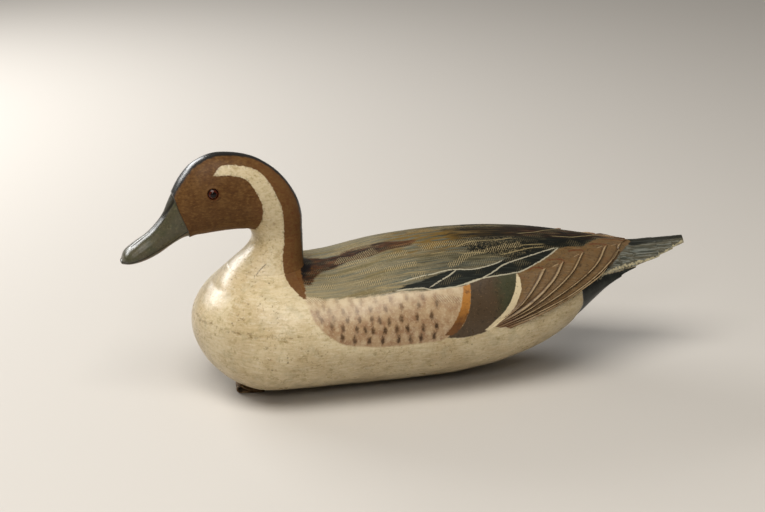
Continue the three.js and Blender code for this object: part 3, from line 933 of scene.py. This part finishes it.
CREAM = srgb(206, 189, 153)
CREAM_WARM = srgb(192, 172, 134)
CREAM_GREY = srgb(170, 158, 126)
CREAM_OLIVE = srgb(152, 134, 88)
CREAM_RUST = srgb(158, 124, 80)
WHITE_WORN = srgb(214, 200, 172)
# Grime, also laid on as painted shade low on the body
GRIME_AND_SHADE = srgb(84, 70, 42)
# Stain, also laid on as painted shade towards the tail
STAIN_AND_SHADE = srgb(112, 92, 50)
FACE = srgb(86, 56, 26)
FACE_LIGHT = srgb(110, 80, 44)
FACE_DARK = srgb(62, 38, 19)
NAPE = srgb(98, 66, 36)
NAPE_RED = srgb(92, 50, 26)
BLACK = srgb(22, 19, 15)
# Painted shade in the crease behind the neck
NECK_SHADE = srgb(14, 14, 16)
BILL = srgb(76, 71, 53)
BILL_GREEN = srgb(68, 67, 48)
BILL_LIGHT = srgb(112, 105, 78)
BILL_EDGE = srgb(104, 58, 38)
GREY = srgb(128, 116, 88)
GREY_BLUE = srgb(90, 94, 84)
GREY_OLIVE = srgb(108, 94, 56)
GREY_PALE = srgb(158, 146, 114)
COMB = srgb(170, 152, 112)
OCHRE_STREAK = srgb(108, 82, 32)
UMBER = srgb(21, 16, 9)
TEAL_BLACK = srgb(13, 15, 12)
SLATE = srgb(26, 28, 24)
SLATE_BLUE = srgb(50, 54, 48)
LINE_WHITE = srgb(184, 176, 152)
LINE_TAN = srgb(148, 132, 94)
FLANK = srgb(166, 138, 104)
FLANK_PINK = srgb(146, 114, 84)
FLANK_DEEP = srgb(124, 92, 64)
FLANK_PALE = srgb(202, 184, 152)
DAB = srgb(62, 42, 22)
OCHRE = srgb(166, 112, 50)
OCHRE_DARK = srgb(88, 54, 26)
SPECULUM = srgb(74, 59, 42)
SPECULUM_GREEN = srgb(58, 62, 42)
RED_WOOD = srgb(72, 38, 18)
RED_DARK = srgb(32, 18, 10)
RED_PALE = srgb(108, 72, 44)
PRIMARY = srgb(106, 84, 56)
PRIMARY_DARK = srgb(58, 40, 25)
PRIMARY_RED = srgb(98, 54, 34)
PRIMARY_LIGHT = srgb(164, 142, 108)
TAIL_GREY = srgb(86, 82, 68)
TAIL_LIGHT = srgb(146, 150, 142)
RIM_YELLOW = srgb(184, 172, 138)
IRIS = srgb(66, 17, 7)
IRIS_RIM = srgb(34, 16, 9)
IRIS_LIGHT = srgb(104, 48, 16)
PUPIL = srgb(10, 3, 2)
LEATHER = srgb(128, 102, 70)
LEATHER_DARK = srgb(78, 58, 38)
LEATHER_WORN = srgb(168, 146, 108)
FLOOR_COLOUR = srgb(200, 195, 188)
ROOM_COLOUR = srgb(226, 222, 216)

KIND_STEP = 0.017  # how much one kind of mottling differs from the next in size
GLOSS = 0.33  # how strongly the varnished paint shines
FLOOR_RADIUS = 9
FLOOR_CORNERS = 96


class Wire:
    """What a node gives, with the arithmetic that the paint needs."""

    def __init__(self, paint, socket):
        self.paint = paint
        self.socket = socket

    def __add__(self, other):
        return self.paint.calc("ADD", self, other)

    def __sub__(self, other):
        return self.paint.calc("SUBTRACT", self, other)

    def __rsub__(self, other):
        return self.paint.calc("SUBTRACT", other, self)

    def __mul__(self, other):
        return self.paint.calc("MULTIPLY", self, other)

    def __truediv__(self, other):
        return self.paint.calc("DIVIDE", self, other)

    def __abs__(self):
        return self.paint.calc("ABSOLUTE", self)


class Coats:
    """A colour that further colours are laid over, each where its share says."""

    def __init__(self, paint, ground):
        self.paint = paint
        self.colour = ground

    def lay(self, over, share):
        self.colour = self.paint.mix(self.colour, over, share)


class Paint:
    """One material, written as sums and mixes."""

    def __init__(self, name, **surface):
        self.material = bpy.data.materials.new(name)
        self.material.use_nodes = True
        self.tree = self.material.node_tree
        self.tree.nodes.clear()
        self.known = {}
        self.shader = self.node("ShaderNodeBsdfPrincipled")
        output = self.node("ShaderNodeOutputMaterial")
        self.tree.links.new(self.shader.outputs["BSDF"], output.inputs["Surface"])
        for socket, value in surface.items():
            self.shader.inputs[socket.replace("_", " ")].default_value = value
        place = self.node("ShaderNodeTexCoord")
        self.place = self.vector_calc("MULTIPLY", Wire(self, place.outputs["Object"]), (1 / MM,) * 3)

    def set(self, socket, value):
        """Feed an input with a wire, or with a plain number or colour."""
        value = value.colour if isinstance(value, Coats) else value
        if isinstance(value, Wire):
            self.tree.links.new(value.socket, socket)
        else:
            socket.default_value = value

    def node(self, kind, inputs=(), **settings):
        made = self.tree.nodes.new(kind)
        for key, value in settings.items():
            setattr(made, key, value)
        for key, value in dict(inputs).items():
            self.set(made.inputs[key], value)
        return made

    def once(self, key, *node, **settings):
        """The node kept under that key, made the first time."""
        if key not in self.known:
            self.known[key] = self.node(*node, **settings)
        return self.known[key]

    def calc(self, operation, *values):
        made = self.node("ShaderNodeMath", dict(enumerate(values)), operation=operation)
        return Wire(self, made.outputs[0])

    def vector_calc(self, operation, *values):
        made = self.node("ShaderNodeVectorMath", dict(enumerate(values)), operation=operation)
        return Wire(self, made.outputs[0])

    def part(self, key, vector, index):
        """One of the three numbers of a vector known by that key."""
        return Wire(self, self.once(("part", key), "ShaderNodeSeparateXYZ", {0: vector}).outputs[index])

    def layer(self, name, part=None):
        """A value painted on the mesh; part picks one of a vector's three."""
        made = self.once(("layer", name), "ShaderNodeAttribute", attribute_name=name)
        if part is None:
            return Wire(self, made.outputs["Fac"])
        vector = Wire(self, made.outputs["Vector"])
        return vector if part == "vector" else self.part(name, vector, part)

    def axis(self, index):
        """How far a place lies along one axis."""
        return self.part("place", self.place, index)

    def spaced(self, stretch, space):
        """Places in millimetres, drawn out along some axes."""
        base = self.place if space is None else self.layer(space, "vector")
        if stretch == (1, 1, 1):
            return base
        inputs = {0: base, 1: stretch}
        drawn = self.once(("spaced", stretch, space), "ShaderNodeVectorMath", inputs, operation="DIVIDE")
        return Wire(self, drawn.outputs[0])

    def noise(self, size, detail=3, kind=0, stretch=(1, 1, 1), rough=0.55, space=None):
        """Soft mottling about 0.5, of about that size. Each kind is another pattern."""
        scale = 1 / (size * (1 + KIND_STEP * kind))
        inputs = {"Vector": self.spaced(stretch, space), "Scale": scale, "Detail": detail, "Roughness": rough}
        key = ("noise", size, detail, kind, stretch, rough, space)
        return Wire(self, self.once(key, "ShaderNodeTexNoise", inputs).outputs[0])

    def grain(self, size, detail=3, long=1, kind=0, wide=1, rough=0.55):
        """The same laid out over the body and drawn out along it."""
        return self.noise(size, detail, kind, (long, wide, 1), rough, "unrolled")

    def patch(self, low, high, *noise, **more):
        """1 where a mottling passes a level."""
        return self.step(self.noise(*noise, **more), low, high)

    def grain_patch(self, low, high, *grain, **more):
        return self.step(self.grain(*grain, **more), low, high)

    def cells(self, size, feature="F1", stretch=(1, 1, 1), kind=0):
        """Distance in millimetres to scattered points, and a number for each, or to lines between them."""
        inputs = {"Vector": self.spaced(stretch, None), "Scale": 1 / (size * (1 + KIND_STEP * kind))}
        made = self.node("ShaderNodeTexVoronoi", inputs, feature=feature)
        distance = Wire(self, made.outputs["Distance"]) * size
        if feature != "F1":
            return distance
        return distance, self.part(made.name, Wire(self, made.outputs["Color"]), 0)

    def step(self, value, low, high):
        """Smooth rise from 0 at low to 1 at high."""
        inputs = {"Value": value, "From Min": low, "From Max": high}
        return Wire(self, self.node("ShaderNodeMapRange", inputs, interpolation_type="SMOOTHSTEP").outputs[0])

    def wave(self, value, length):
        return self.calc("SINE", value * (2 * math.pi / length))

    def ragged(self, amount, grain=2.2, kind=0):
        """Unevenness of a painted edge, in millimetres either way."""
        return self.calc("MULTIPLY_ADD", self.noise(grain, 3, kind), 4 * amount, -2 * amount)

    def inside(self, name, soft=0.35, ragged=0.35, grain=2.2):
        """1 inside a painted area and 0 outside it."""
        return self.step(self.layer(name) + self.ragged(ragged, grain), soft, -soft)

    def brush_line(self, name, half, fade=4.0, ragged=0.15):
        """1 on a brush line, thinning to its ends."""
        ends = self.step(self.layer(name, 1), -0.5, fade)
        across = abs(self.layer(name, 0) + self.ragged(ragged, 3.5)) - (ends * half)
        dry = self.patch(0.28, 0.42, 1.6, 2, 5)
        return self.step(across, 0.25, -0.3) * dry * self.step(self.layer(name, 1), -0.2, 0.3)

    def mix(self, under, over, share):
        made = self.node("ShaderNodeMix", {0: share, 6: under, 7: over}, data_type="RGBA")
        return Wire(self, made.outputs[2])

    def finish(self, colour, roughness, relief):
        """Relief is in millimetres."""
        self.set(self.shader.inputs["Base Color"], colour)
        self.set(self.shader.inputs["Roughness"], roughness)
        bump = self.node("ShaderNodeBump", {"Strength": 1.0, "Distance": MM, "Height": relief})
        self.set(self.shader.inputs["Normal"], Wire(self, bump.outputs[0]))
        return self.material


def cream_paint(p, grain_stretch=(2.5, 2.5, 1)):
    """Old off-white paint: stained, specked and worn, and darker low down with grime and painted shade. Gives
    its colour and its relief.
    """
    cream = Coats(p, CREAM)
    cream.lay(CREAM_WARM, p.patch(0.42, 0.62, 30, 4))
    cream.lay(CREAM_GREY, p.patch(0.5, 0.7, 9, 5, 3) * 0.5)
    fleck = p.noise(2.6, 5, 9, rough=0.7)
    cream.lay(CREAM_OLIVE, p.patch(0.5, 0.68, 7, 6, 12, rough=0.68) * p.step(fleck, 0.4, 0.56) * 0.75)
    cream.lay(CREAM_RUST, p.patch(0.54, 0.7, 5, 6, 7, rough=0.7) * p.step(fleck, 0.45, 0.6) * 0.6)
    grain = p.noise(1.2, 3, 3, grain_stretch)
    cream.lay(CREAM_OLIVE, p.step(grain, 0.5, 0.7) * 0.34)
    cream.lay(WHITE_WORN, p.step(grain, 0.48, 0.32) * 0.4)
    mottle = p.noise(1.7, 4, 2, rough=0.65)
    cream.lay(CREAM_RUST, p.step(mottle, 0.52, 0.7) * 0.3)
    cream.lay(WHITE_WORN, p.step(mottle, 0.45, 0.3) * 0.5)
    # Darker towards the bottom: some grime, and painted shade under the body
    cream.lay(GRIME_AND_SHADE, p.step(p.axis(2), 50, 5) * p.patch(0.25, 0.6, 9, 5, 3) * 0.26)
    dirty = p.patch(0.42, 0.6, 22, 3, 15)
    distance, pick = p.cells(5)
    speck = p.step(distance, 1.0, 0.3) * p.step(pick, 0.7, 0.8) * dirty
    cream.lay(GRIME_AND_SHADE, speck * 0.7)
    short = p.cells(4, "DISTANCE_TO_EDGE", (1, 1, 1.4), 9)
    tick = p.step(short + p.ragged(0.12, 1.7, 2), 0.42, 0.05) * p.step(fleck, 0.52, 0.62) * dirty
    cream.lay(STAIN_AND_SHADE, tick * 0.65)
    return cream, speck * -0.05 + tick * -0.04 + grain * 0.05 + mottle * 0.06


def brown_paint(p, base, light, dark):
    """Matt brown with a fine worn grain."""
    brown = Coats(p, base)
    brown.lay(light, p.patch(0.42, 0.7, 9, 5, 1) * 0.45)
    brown.lay(dark, p.patch(0.5, 0.75, 5, 5, 8) * 0.35)
    fine = p.noise(1.2, 3, 4, (2, 2, 1), 0.6)
    brown.lay(light, p.step(fine, 0.5, 0.68) * 0.75)
    brown.lay(dark, p.step(fine, 0.47, 0.3) * 0.6)
    distance, pick = p.cells(4, kind=3)
    brown.lay(BLACK, p.step(distance, 0.6, 0.2) * p.step(pick, 0.7, 0.8) * 0.4)
    return brown


def primary_brown(p):
    brown = brown_paint(p, PRIMARY, FACE_LIGHT, PRIMARY_DARK)
    brown.lay(PRIMARY_LIGHT, p.grain_patch(0.52, 0.72, 1.1, 3, 8, 7) * 0.25)
    brown.lay(PRIMARY_RED, p.grain_patch(0.55, 0.75, 4, 4, 3, 2) * 0.35)
    return brown


def back_paint(p):
    """Streaked and combed grey back, worn to the wood beside its ridge and dark behind."""
    along, across = p.layer("unrolled", 0), abs(p.layer("unrolled", 1))
    streak = p.grain(2.6, 4, 18)
    fine = p.grain(1.1, 3, 22, 2)
    grit = p.noise(1.3, 4, 6, rough=0.7)
    broad = p.grain(10, 4, 5, 5)
    back = Coats(p, GREY)
    back.lay(GREY_BLUE, p.step(streak, 0.4, 0.62) * 0.85)
    back.lay(GREY_OLIVE, p.step(broad, 0.46, 0.66) * 0.7)
    back.lay(GREY_PALE, p.step(fine, 0.53, 0.68) * 0.5)
    back.lay(UMBER, p.step(fine, 0.45, 0.3) * 0.32)
    back.lay(GREY_PALE, p.step(grit, 0.54, 0.7) * 0.55)
    back.lay(UMBER, p.step(grit, 0.45, 0.3) * 0.4)
    back.lay(GREY_PALE, p.step(along, 135, 80) * p.step(across, 30, 48) * 0.4)
    behind = p.step(along + (broad - 0.5) * 40, 130, 205)
    back.lay(SLATE_BLUE, behind * 0.6)
    back.lay(UMBER, behind * p.step(fine, 0.52, 0.4) * 0.5)

    # Dark rear, brown by the ridge and slate beside it
    dusk = p.step(p.layer("dusk") + (p.grain(5, 4, 9, 1) - 0.5) * 26, 3.5, -3)
    near_ridge = p.step(across + (broad - 0.5) * 12, 16, 8)
    umber = Coats(p, UMBER)
    umber.lay(OCHRE_STREAK, p.step(fine, 0.5, 0.62) * p.step(along, 262, 200) * 0.9)
    umber.lay(PRIMARY_RED, p.step(fine, 0.5, 0.62) * p.step(along, 230, 262) * 0.45)
    umber.lay(TEAL_BLACK, p.grain_patch(0.48, 0.62, 6, 4, 5, 8) * 0.8)
    slate = Coats(p, TEAL_BLACK)
    slate.lay(SLATE_BLUE, p.step(fine, 0.5, 0.66) * 0.4)
    slate.lay(COMB, p.step(grit, 0.52, 0.64) * p.step(along, 262, 236) * 0.5)
    back.lay(p.mix(slate, umber, near_ridge), dusk * 0.97)
    gold = p.grain_patch(0.42, 0.56, 3, 4, 4, 18) * p.step(abs(along - 176), 36, 14) * p.step(across, 36, 18)
    back.lay(OCHRE_STREAK, gold * p.step(grit, 0.3, 0.46) * 0.9)
    back.lay(LINE_TAN, p.step(fine, 0.6, 0.68) * p.grain_patch(0.52, 0.62, 4, 2, 3, 9) * 0.32)

    # Dark wedge over the flank
    wedge = p.mix(SLATE, SLATE_BLUE, p.step(fine, 0.5, 0.68) * 0.6)
    torn = p.ragged(0.5, 2.2) + (streak - 0.5) * p.step(along, 195, 150) * 9
    back.lay(wedge, p.step(p.layer("wedge") + torn, 0.6, -0.6))

    # Streak worn to red wood, with rust by the neck and painted shade in the crease behind it
    worn = p.step(p.layer("worn") + (streak - 0.5) * 7 + p.ragged(0.8, 1.5), 2.0, -0.8)
    red = Coats(p, RED_WOOD)
    red.lay(RED_DARK, p.grain_patch(0.4, 0.54, 2, 3, 5))
    red.lay(RED_PALE, p.step(along, 140, 166) * p.step(fine, 0.4, 0.6) * 0.8)
    back.lay(red, worn * p.step(grit, 0.28, 0.44) * 0.95)
    core = p.step(abs(p.layer("worn_core", 0) + p.ragged(0.6, 2)), 2.2, 0.4)
    core = core * p.step(p.layer("worn_core", 1), -3, 3) * p.grain_patch(0.36, 0.5, 3, 3, 4, 6)
    back.lay(RED_DARK, core * 0.85)
    rust = p.patch(0.46, 0.56, 1.8, 4, 3) * p.step(along, 99, 84) * p.step(across, 32, 20)
    back.lay(RED_WOOD, rust * 0.85)
    back.lay(OCHRE_STREAK, rust * p.patch(0.56, 0.62, 1.4, 3, 9) * 0.8)
    # Painted shade in the crease behind the neck
    back.lay(NECK_SHADE, p.step(p.layer("neck_soot") + p.ragged(1.3, 2.4), 2, -1.5) * 0.92)

    # Combed bands
    teeth = p.wave(along + across * 0.55 + (p.grain(4, 2) - 0.5) * 1.2, 1.65)
    reach = p.step(across, 30, 10) * 3.5 + 2.7
    on_comb = p.step(p.layer("combs", 0) + p.ragged(0.9, 2.2, 2) - reach, 0.5, -0.5)
    on_comb = on_comb * p.step(p.layer("combs", 1), -1, 2)
    comb = on_comb * p.step(teeth, -0.1, 0.75)
    back.lay(COMB, comb * (p.step(grit, 0.4, 0.56) * 0.36 + 0.32))
    back.lay(UMBER, on_comb * p.step(teeth, -0.2, -0.9) * 0.35)
    back.lay(COMB, p.grain_patch(0.5, 0.62, 11, 3, 2, 7) * p.step(teeth, 0, 0.9) * 0.2)
    return back, comb


def flank_paint(p):
    """Pinkish ground that pales upwards, with rows of soft dark dabs."""
    across = abs(p.layer("unrolled", 1))
    mottled = p.grain(4.6, 3, 1, 2, 1.5)
    ground = Coats(p, FLANK)
    ground.lay(FLANK_PINK, p.patch(0.4, 0.65, 6, 4, 2))
    ground.lay(FLANK_PALE, p.step(mottled, 0.5, 0.66) * 0.28)
    ground.lay(FLANK_PALE, p.patch(0.5, 0.66, 1.7, 4, 2, rough=0.65) * 0.4)
    pale = p.step(across + (p.noise(9, 3, 5) - 0.5) * 20, 86, 58)
    ground.lay(FLANK_PALE, pale * (p.step(mottled, 0.3, 0.6) * 0.5 + 0.4))
    away = p.layer("dab") + (p.grain(1.6, 3, 1, 3, 1.4) - 0.5) * 2.4
    strength = p.step(across, 58, 98) * 0.8 + 0.2
    ground.lay(FLANK_DEEP, p.step(away, 2.3, 0.8) * strength * 0.6)
    weak = p.grain_patch(0.3, 0.5, 8, 2, 1, 13) * 0.4 + 0.6
    ground.lay(DAB, p.step(away, 1.5, 0.4) * strength * weak * 0.96)
    teeth = p.wave(p.layer("unrolled", 0) - across * 0.7, 1.8)
    ground.lay(GRIME_AND_SHADE, p.step(p.layer("combs", 0), 3.4, 2.0) * p.step(teeth, 0, 0.8) * 0.35)
    return ground


def tail_paint(p):
    """Grey tail feathers streaked with pale blue."""
    streak = p.noise(1.2, 3, 4, (12, 1, 1))
    tail = Coats(p, TAIL_GREY)
    tail.lay(SLATE_BLUE, p.patch(0.45, 0.65, 3, 3, 4, (12, 1, 1)) * 0.8)
    tail.lay(SLATE, p.step(streak, 0.42, 0.3) * 0.4)
    tail.lay(TAIL_LIGHT, p.step(streak, 0.49, 0.62) * 0.42)
    return tail


def speculum_paint(p, along):
    speculum = Coats(p, SPECULUM)
    speculum.lay(SPECULUM_GREEN, p.step(along + (p.noise(8, 3, 2) - 0.5) * 14, 212, 226) * 0.8)
    speculum.lay(BLACK, p.patch(0.52, 0.75, 3, 5, 5) * 0.5)
    speculum.lay(FLANK_PINK, p.patch(0.6, 0.74, 1.2, 4, 11) * 0.4)
    return speculum


def body_paint():
    p = Paint("body paint")
    along, across = p.layer("unrolled", 0), abs(p.layer("unrolled", 1))
    colour, relief = cream_paint(p, (6, 6, 1))
    # Painted shade: the cream darkens towards the tail
    colour.lay(STAIN_AND_SHADE, p.step(along, 220, 320) * 0.25)
    colour.lay(flank_paint(p), p.inside("flank", 0.9, 0.5))
    back, comb = back_paint(p)
    lower = (p.grain(3, 5, 3, 16, rough=0.7) - 0.5) * 12 * p.step(along, 175, 140)
    edge = p.step(along, 175, 130) * 1.4 + 0.6
    colour.lay(back, p.step((p.layer("back") + lower) / edge, 1, -1))
    nape = brown_paint(p, NAPE, FACE_LIGHT, NAPE_RED)
    nape.lay(RED_PALE, p.patch(0.44, 0.6, 1.3, 4, 6, rough=0.7) * p.step(p.axis(2), 93, 85) * 0.7)
    ahead = p.step(along - (p.axis(2) - 84) * 0.3 + p.ragged(1.1, 2.2), 76.6, 74.8)
    on_nape = p.step(p.layer("white") + p.ragged(0.5), -0.35, 0.35) * ahead
    colour.lay(nape, on_nape * p.step(p.axis(2), 72, 75))
    colour.lay(speculum_paint(p, along), p.inside("speculum", 0.5, 0.35))
    ochre = Coats(p, OCHRE)
    ochre.lay(OCHRE_DARK, p.patch(0.48, 0.7, 4, 5, 1) * 0.8)
    ochre.lay(OCHRE_DARK, p.step(across + (p.noise(3, 4) - 0.5) * 12, 78, 96) * 0.85)
    colour.lay(ochre, p.inside("ochre", 0.5, 0.5))
    colour.lay(p.mix(SLATE, SLATE_BLUE, p.patch(0.45, 0.7, 6, 4, 6) * 0.5), p.inside("rump", 0.6, 0.4))
    colour.lay(tail_paint(p), p.inside("tail", 0.6, 0.3))
    colour.lay(TEAL_BLACK, p.step(p.layer("tail_dark") + p.ragged(0.5), 0.8, -0.8) * 0.8)
    colour.lay(primary_brown(p), p.inside("primaries", 0.5, 0.5, 3))
    hooks = p.step(p.layer("hooks", 0) + p.ragged(0.3, 2), 1.1, 0.3) * p.step(p.layer("hooks", 1), -0.5, 2)
    colour.lay(PRIMARY_RED, hooks * 0.75)
    colour.lay(CREAM, p.inside("crescent", 0.35, 0.3) * p.patch(0.22, 0.4, 2, 3, 3))
    for name in [*THIN_LINES, "line_f", "line_g"]:
        colour.lay(LINE_TAN, p.brush_line(name, 0.5) * 0.8)
    for name in WHITE_LINES:
        colour.lay(LINE_WHITE, p.brush_line(name, 0.5, ragged=0.3) * 0.8)
    knobs = p.patch(0.36, 0.6, 2.2, 3, 8)
    rim = p.step(abs(p.layer("tail_rim", 0) + p.ragged(0.6, 1.8)) - knobs * 0.8, 0.8, 0.1)
    rim = rim * p.step(p.layer("tail_rim", 1), -1, 2) * (knobs * 0.5 + 0.5)
    colour.lay(RIM_YELLOW, rim * (p.patch(0.34, 0.52, 1.0, 3, 2) * 0.5 + 0.42))
    crack = p.brush_line("neck_crack", 0.2, 2, 0.3)
    seam = p.step(abs(p.axis(2) - SEAM_Z + (p.noise(9, 4, 3) - 0.5) * 9), 1.5, 0.2)
    seam = seam * p.patch(0.42, 0.6, 2.6, 5, 9, rough=0.7) * p.step(along, 100, 66)
    colour.lay(STAIN_AND_SHADE, seam * 0.6)
    colour.lay(UMBER, crack * 0.8)
    strokes = (p.grain(0.9, 2, 7) - 0.5) * 0.07
    relief = relief + strokes + comb * 0.05 + seam * -0.05 + crack * -0.12 + rim * 0.12
    dark_back = p.step(p.layer("back"), 0.5, -0.5)
    p.set(p.shader.inputs["Specular IOR Level"], GLOSS - dark_back * 0.24)
    return p.finish(colour, p.noise(9, 5, 3) * 0.36 + 0.14 + dark_back * 0.16, relief)


def feather_paint():
    """Brown primaries, each with a pale raised rear edge partly painted as highlight, a dark line of painted
    shade in the hollow before it, and painted shade on the step behind it.
    """
    p = Paint("primary paint", Specular_IOR_Level=0.25)
    rear, tip, root = (p.layer("feather", i) for i in range(3))
    colour = primary_brown(p)
    uneven = p.ragged(0.35, 3)
    # Painted shade in the hollow before each raised rear edge
    colour.lay(PRIMARY_DARK, p.step(abs(rear - 3.6 + uneven), 2.0, 0.3) * p.step(tip, 1, 6) * 0.6)
    colour.lay(PRIMARY_RED, p.step(root + (p.noise(6, 3) - 0.5) * 16, 26, 4) * 0.45)
    # Pale rear edge: pale paint, with a painted highlight along the raised lip
    faded = p.patch(0.25, 0.5, 6, 3, 2) * (p.step(root, 2, 30) * 0.55 + 0.45)
    colour.lay(PRIMARY_LIGHT, p.step(abs(rear - 1.5 + uneven * 0.7), 1.6, 0.2) * faded * 0.76)
    by_tip = p.step(tip + p.ragged(0.3, 3, 2), 1.9, 0.7) * p.step(p.layer("feather_number"), 0.6, 1.0)
    colour.lay(PRIMARY_RED, by_tip * p.step(rear, 13, 9) * 0.6)
    # Pale dash on the raised top edge by the tip: pale paint, with a painted highlight
    colour.lay(PRIMARY_LIGHT, by_tip * p.step(abs(rear - 8.5 + uneven), 3.6, 2.2) * 0.7)
    # Painted shade on the step down at each rear edge
    colour.lay(PRIMARY_DARK, p.step(rear, 0.3, 0.08) * 0.6)
    colour.lay(CREAM, p.inside("crescent", 0.35, 0.3))
    return p.finish(colour, p.noise(7, 4, 3) * 0.3 + 0.28, (p.grain(0.9, 2, 7) - 0.5) * 0.07)


def bill_paint(p):
    """Grey-green bill, dark on top and beside it, with painted shade in the groove under the culmen's edge
    and a rusty lower edge under the gape.
    """
    bill = Coats(p, BILL)
    bill.lay(BILL_GREEN, p.patch(0.4, 0.65, 7, 4, 4))
    bill.lay(BILL_LIGHT, p.patch(0.52, 0.75, 2.2, 5, 2) * 0.6)
    bill.lay(UMBER, p.patch(0.56, 0.74, 1.6, 4, 22) * 0.5)
    below = p.step(p.layer("gape", 0), 0.3, 2.5) * p.step(p.layer("gape", 1), -10, -4)
    bill.lay(BILL_EDGE, below * p.patch(0.4, 0.6, 4, 4, 6) * 0.7)
    bill.lay(BLACK, p.step(abs(p.layer("gape", 0) + p.ragged(0.2, 2)), 0.9, 0.2) * 0.7)
    bill.lay(UMBER, p.step(p.layer("down_side"), 40, 30) * p.step(p.axis(2), 118, 134) * 0.65)
    # Black along the groove under the culmen's edge: painted shade
    culmen = p.step(abs(p.layer("culmen", 0) + p.ragged(0.15, 3)), 0.8, 0.2)
    culmen = culmen * p.step(p.layer("culmen", 1), -2, 1)
    bill.lay(BLACK, culmen * 0.7 * p.step(p.layer("down_side"), 3, 9))
    return bill


def head_paint():
    p = Paint("head paint")
    cream, relief = cream_paint(p)
    face = brown_paint(p, FACE, FACE_LIGHT, FACE_DARK)
    face.lay(brown_paint(p, NAPE, FACE_LIGHT, NAPE_RED), p.step(p.axis(0) - TO_ROW_X, 38, 56))
    off_white = p.step(p.layer("white") + p.ragged(0.5, 1.8), -0.35, 0.35)
    cream.lay(STAIN_AND_SHADE, 0.12)
    cream.lay(GRIME_AND_SHADE, p.step(abs(p.layer("white")), 2.4, 0.2) * p.patch(0.5, 0.62, 1.5, 4, 8, rough=0.7) * 0.6)
    colour = Coats(p, p.mix(cream, face, off_white))
    crown = p.step(p.layer("crown") + p.ragged(1.1, 3) + (p.noise(1.0, 2) - 0.5) * 1.6, 1.4, -1.0)
    not_bill = p.step(p.layer("bill"), -0.2, 0.2)
    colour.lay(BLACK, crown * not_bill)
    colour.lay(bill_paint(p), p.step(p.layer("bill"), 0.05, -0.05))
    colour.lay(BLACK, p.step(abs(p.layer("bill")), 0.6, 0.1) * 0.7)
    colour.lay(NAPE_RED, p.step(p.layer("eye"), 4.9, 4.1) * 0.8)
    colour.lay(GRIME_AND_SHADE, p.brush_line("neck_crack", 0.4, 1.5, 0.3) * 0.8)
    matt = off_white * (1 - crown) * not_bill
    p.set(p.shader.inputs["Specular IOR Level"], GLOSS - matt * 0.18)
    relief = relief * (1 - off_white) + (p.noise(1.1, 3, 1) - 0.5) * 0.07
    return p.finish(colour, p.noise(7, 4, 3) * 0.26 + 0.18 + matt * 0.2, relief)


def eye_glass():
    p = Paint("eye glass", Specular_IOR_Level=0.26)
    gaze = p.layer("gaze")
    rays = p.noise(0.5, 3)
    iris = Coats(p, IRIS)
    iris.lay(IRIS_RIM, p.step(gaze + (rays - 0.5) * 1.0, 2.8, 3.6))
    iris.lay(IRIS_LIGHT, p.step(gaze, 3.3, 2.7) * p.step(rays, 0.46, 0.62) * 0.6)
    return p.finish(p.mix(PUPIL, iris, p.step(gaze, 1.8, 2.8)), 0.12, 0.0)


def tie_leather():
    p = Paint("tie leather", Specular_IOR_Level=0.4)
    leather = Coats(p, LEATHER)
    leather.lay(LEATHER_DARK, p.patch(0.42, 0.62, 5, 4))
    leather.lay(LEATHER_WORN, p.patch(0.54, 0.7, 1.6, 4, 3) * 0.8)
    pores = p.cells(0.7, "DISTANCE_TO_EDGE")
    relief = p.step(pores, 0.0, 0.16) * 0.05 + p.noise(2.4, 4) * 0.25
    return p.finish(leather, p.noise(3, 3) * 0.3 + 0.5, relief)


# Stage
def area_light(name, direction, distance, size, power, colour=(1, 1, 1)):
    lamp = bpy.data.lights.new(name, "AREA")
    lamp.shape = "RECTANGLE"
    lamp.size, lamp.size_y = size
    lamp.energy = power
    lamp.color = colour
    light = add_object(name, lamp)
    outward = Vector(direction).normalized()
    light.location = VIEW_TARGET + outward * distance
    light.rotation_euler = (-outward).to_track_quat("-Z", "Y").to_euler()


def make_stage():
    mesh = bpy.data.meshes.new("floor")
    turns = np.linspace(0, 2 * math.pi, FLOOR_CORNERS, endpoint=False)
    corners = [(FLOOR_RADIUS * math.cos(turn), FLOOR_RADIUS * math.sin(turn), 0) for turn in turns]
    mesh.from_pydata(corners, [], [list(range(FLOOR_CORNERS))])
    floor = add_object("floor", mesh)
    surface = Paint("floor paper")
    mesh.materials.append(surface.finish(FLOOR_COLOUR, 0.75, surface.noise(1.2, 2) * 0.02))
    world = bpy.data.worlds.new("room")
    world.use_nodes = True
    room = world.node_tree.nodes["Background"]
    room.inputs["Color"].default_value = ROOM_COLOUR
    room.inputs["Strength"].default_value = 0.2
    bpy.context.scene.world = world
    area_light("key", (-0.22, -0.35, 0.91), 1.7, (1.5, 1.2), 31, (1, 0.97, 0.92))
    area_light("gloss", (-0.5, 0.78, 0.38), 1.3, (0.9, 0.3), 12)
    area_light("fill", (-0.3, -0.82, 0.5), 1.6, (0.3, 0.3), 3.5)


def make_camera():
    azimuth, elevation = math.radians(VIEW_AZIMUTH), math.radians(VIEW_ELEVATION)
    level = math.cos(elevation)
    back = Vector((math.sin(azimuth) * level, -math.cos(azimuth) * level, math.sin(elevation)))
    lens = bpy.data.cameras.new("camera")
    lens.sensor_width = SENSOR
    lens.lens = LENS
    lens.shift_x = (IMAGE[0] / 2 - TARGET_PIXEL[0]) / IMAGE[0]
    lens.shift_y = (TARGET_PIXEL[1] - IMAGE[1] / 2) / IMAGE[0]
    camera = add_object("camera", lens)
    camera.location = VIEW_TARGET + back * VIEW_DISTANCE
    camera.rotation_euler = back.to_track_quat("Z", "Y").to_euler()
    bpy.context.scene.camera = camera


make_camera()
make_stage()
make_body([body_paint(), feather_paint()])
carved_piece("decoy_head", head_mesh(), "head", [head_paint()])
glass = eye_glass()
for eye_name, eye_side in (("eye_left", -1), ("eye_right", 1)):
    carved_piece("decoy_" + eye_name, eye_mesh(eye_side), eye_name, [glass])
carved_piece("decoy_line_tie", tie_mesh(), "line_tie", [tie_leather()])
bpy.context.scene.view_settings.view_transform = "Standard"
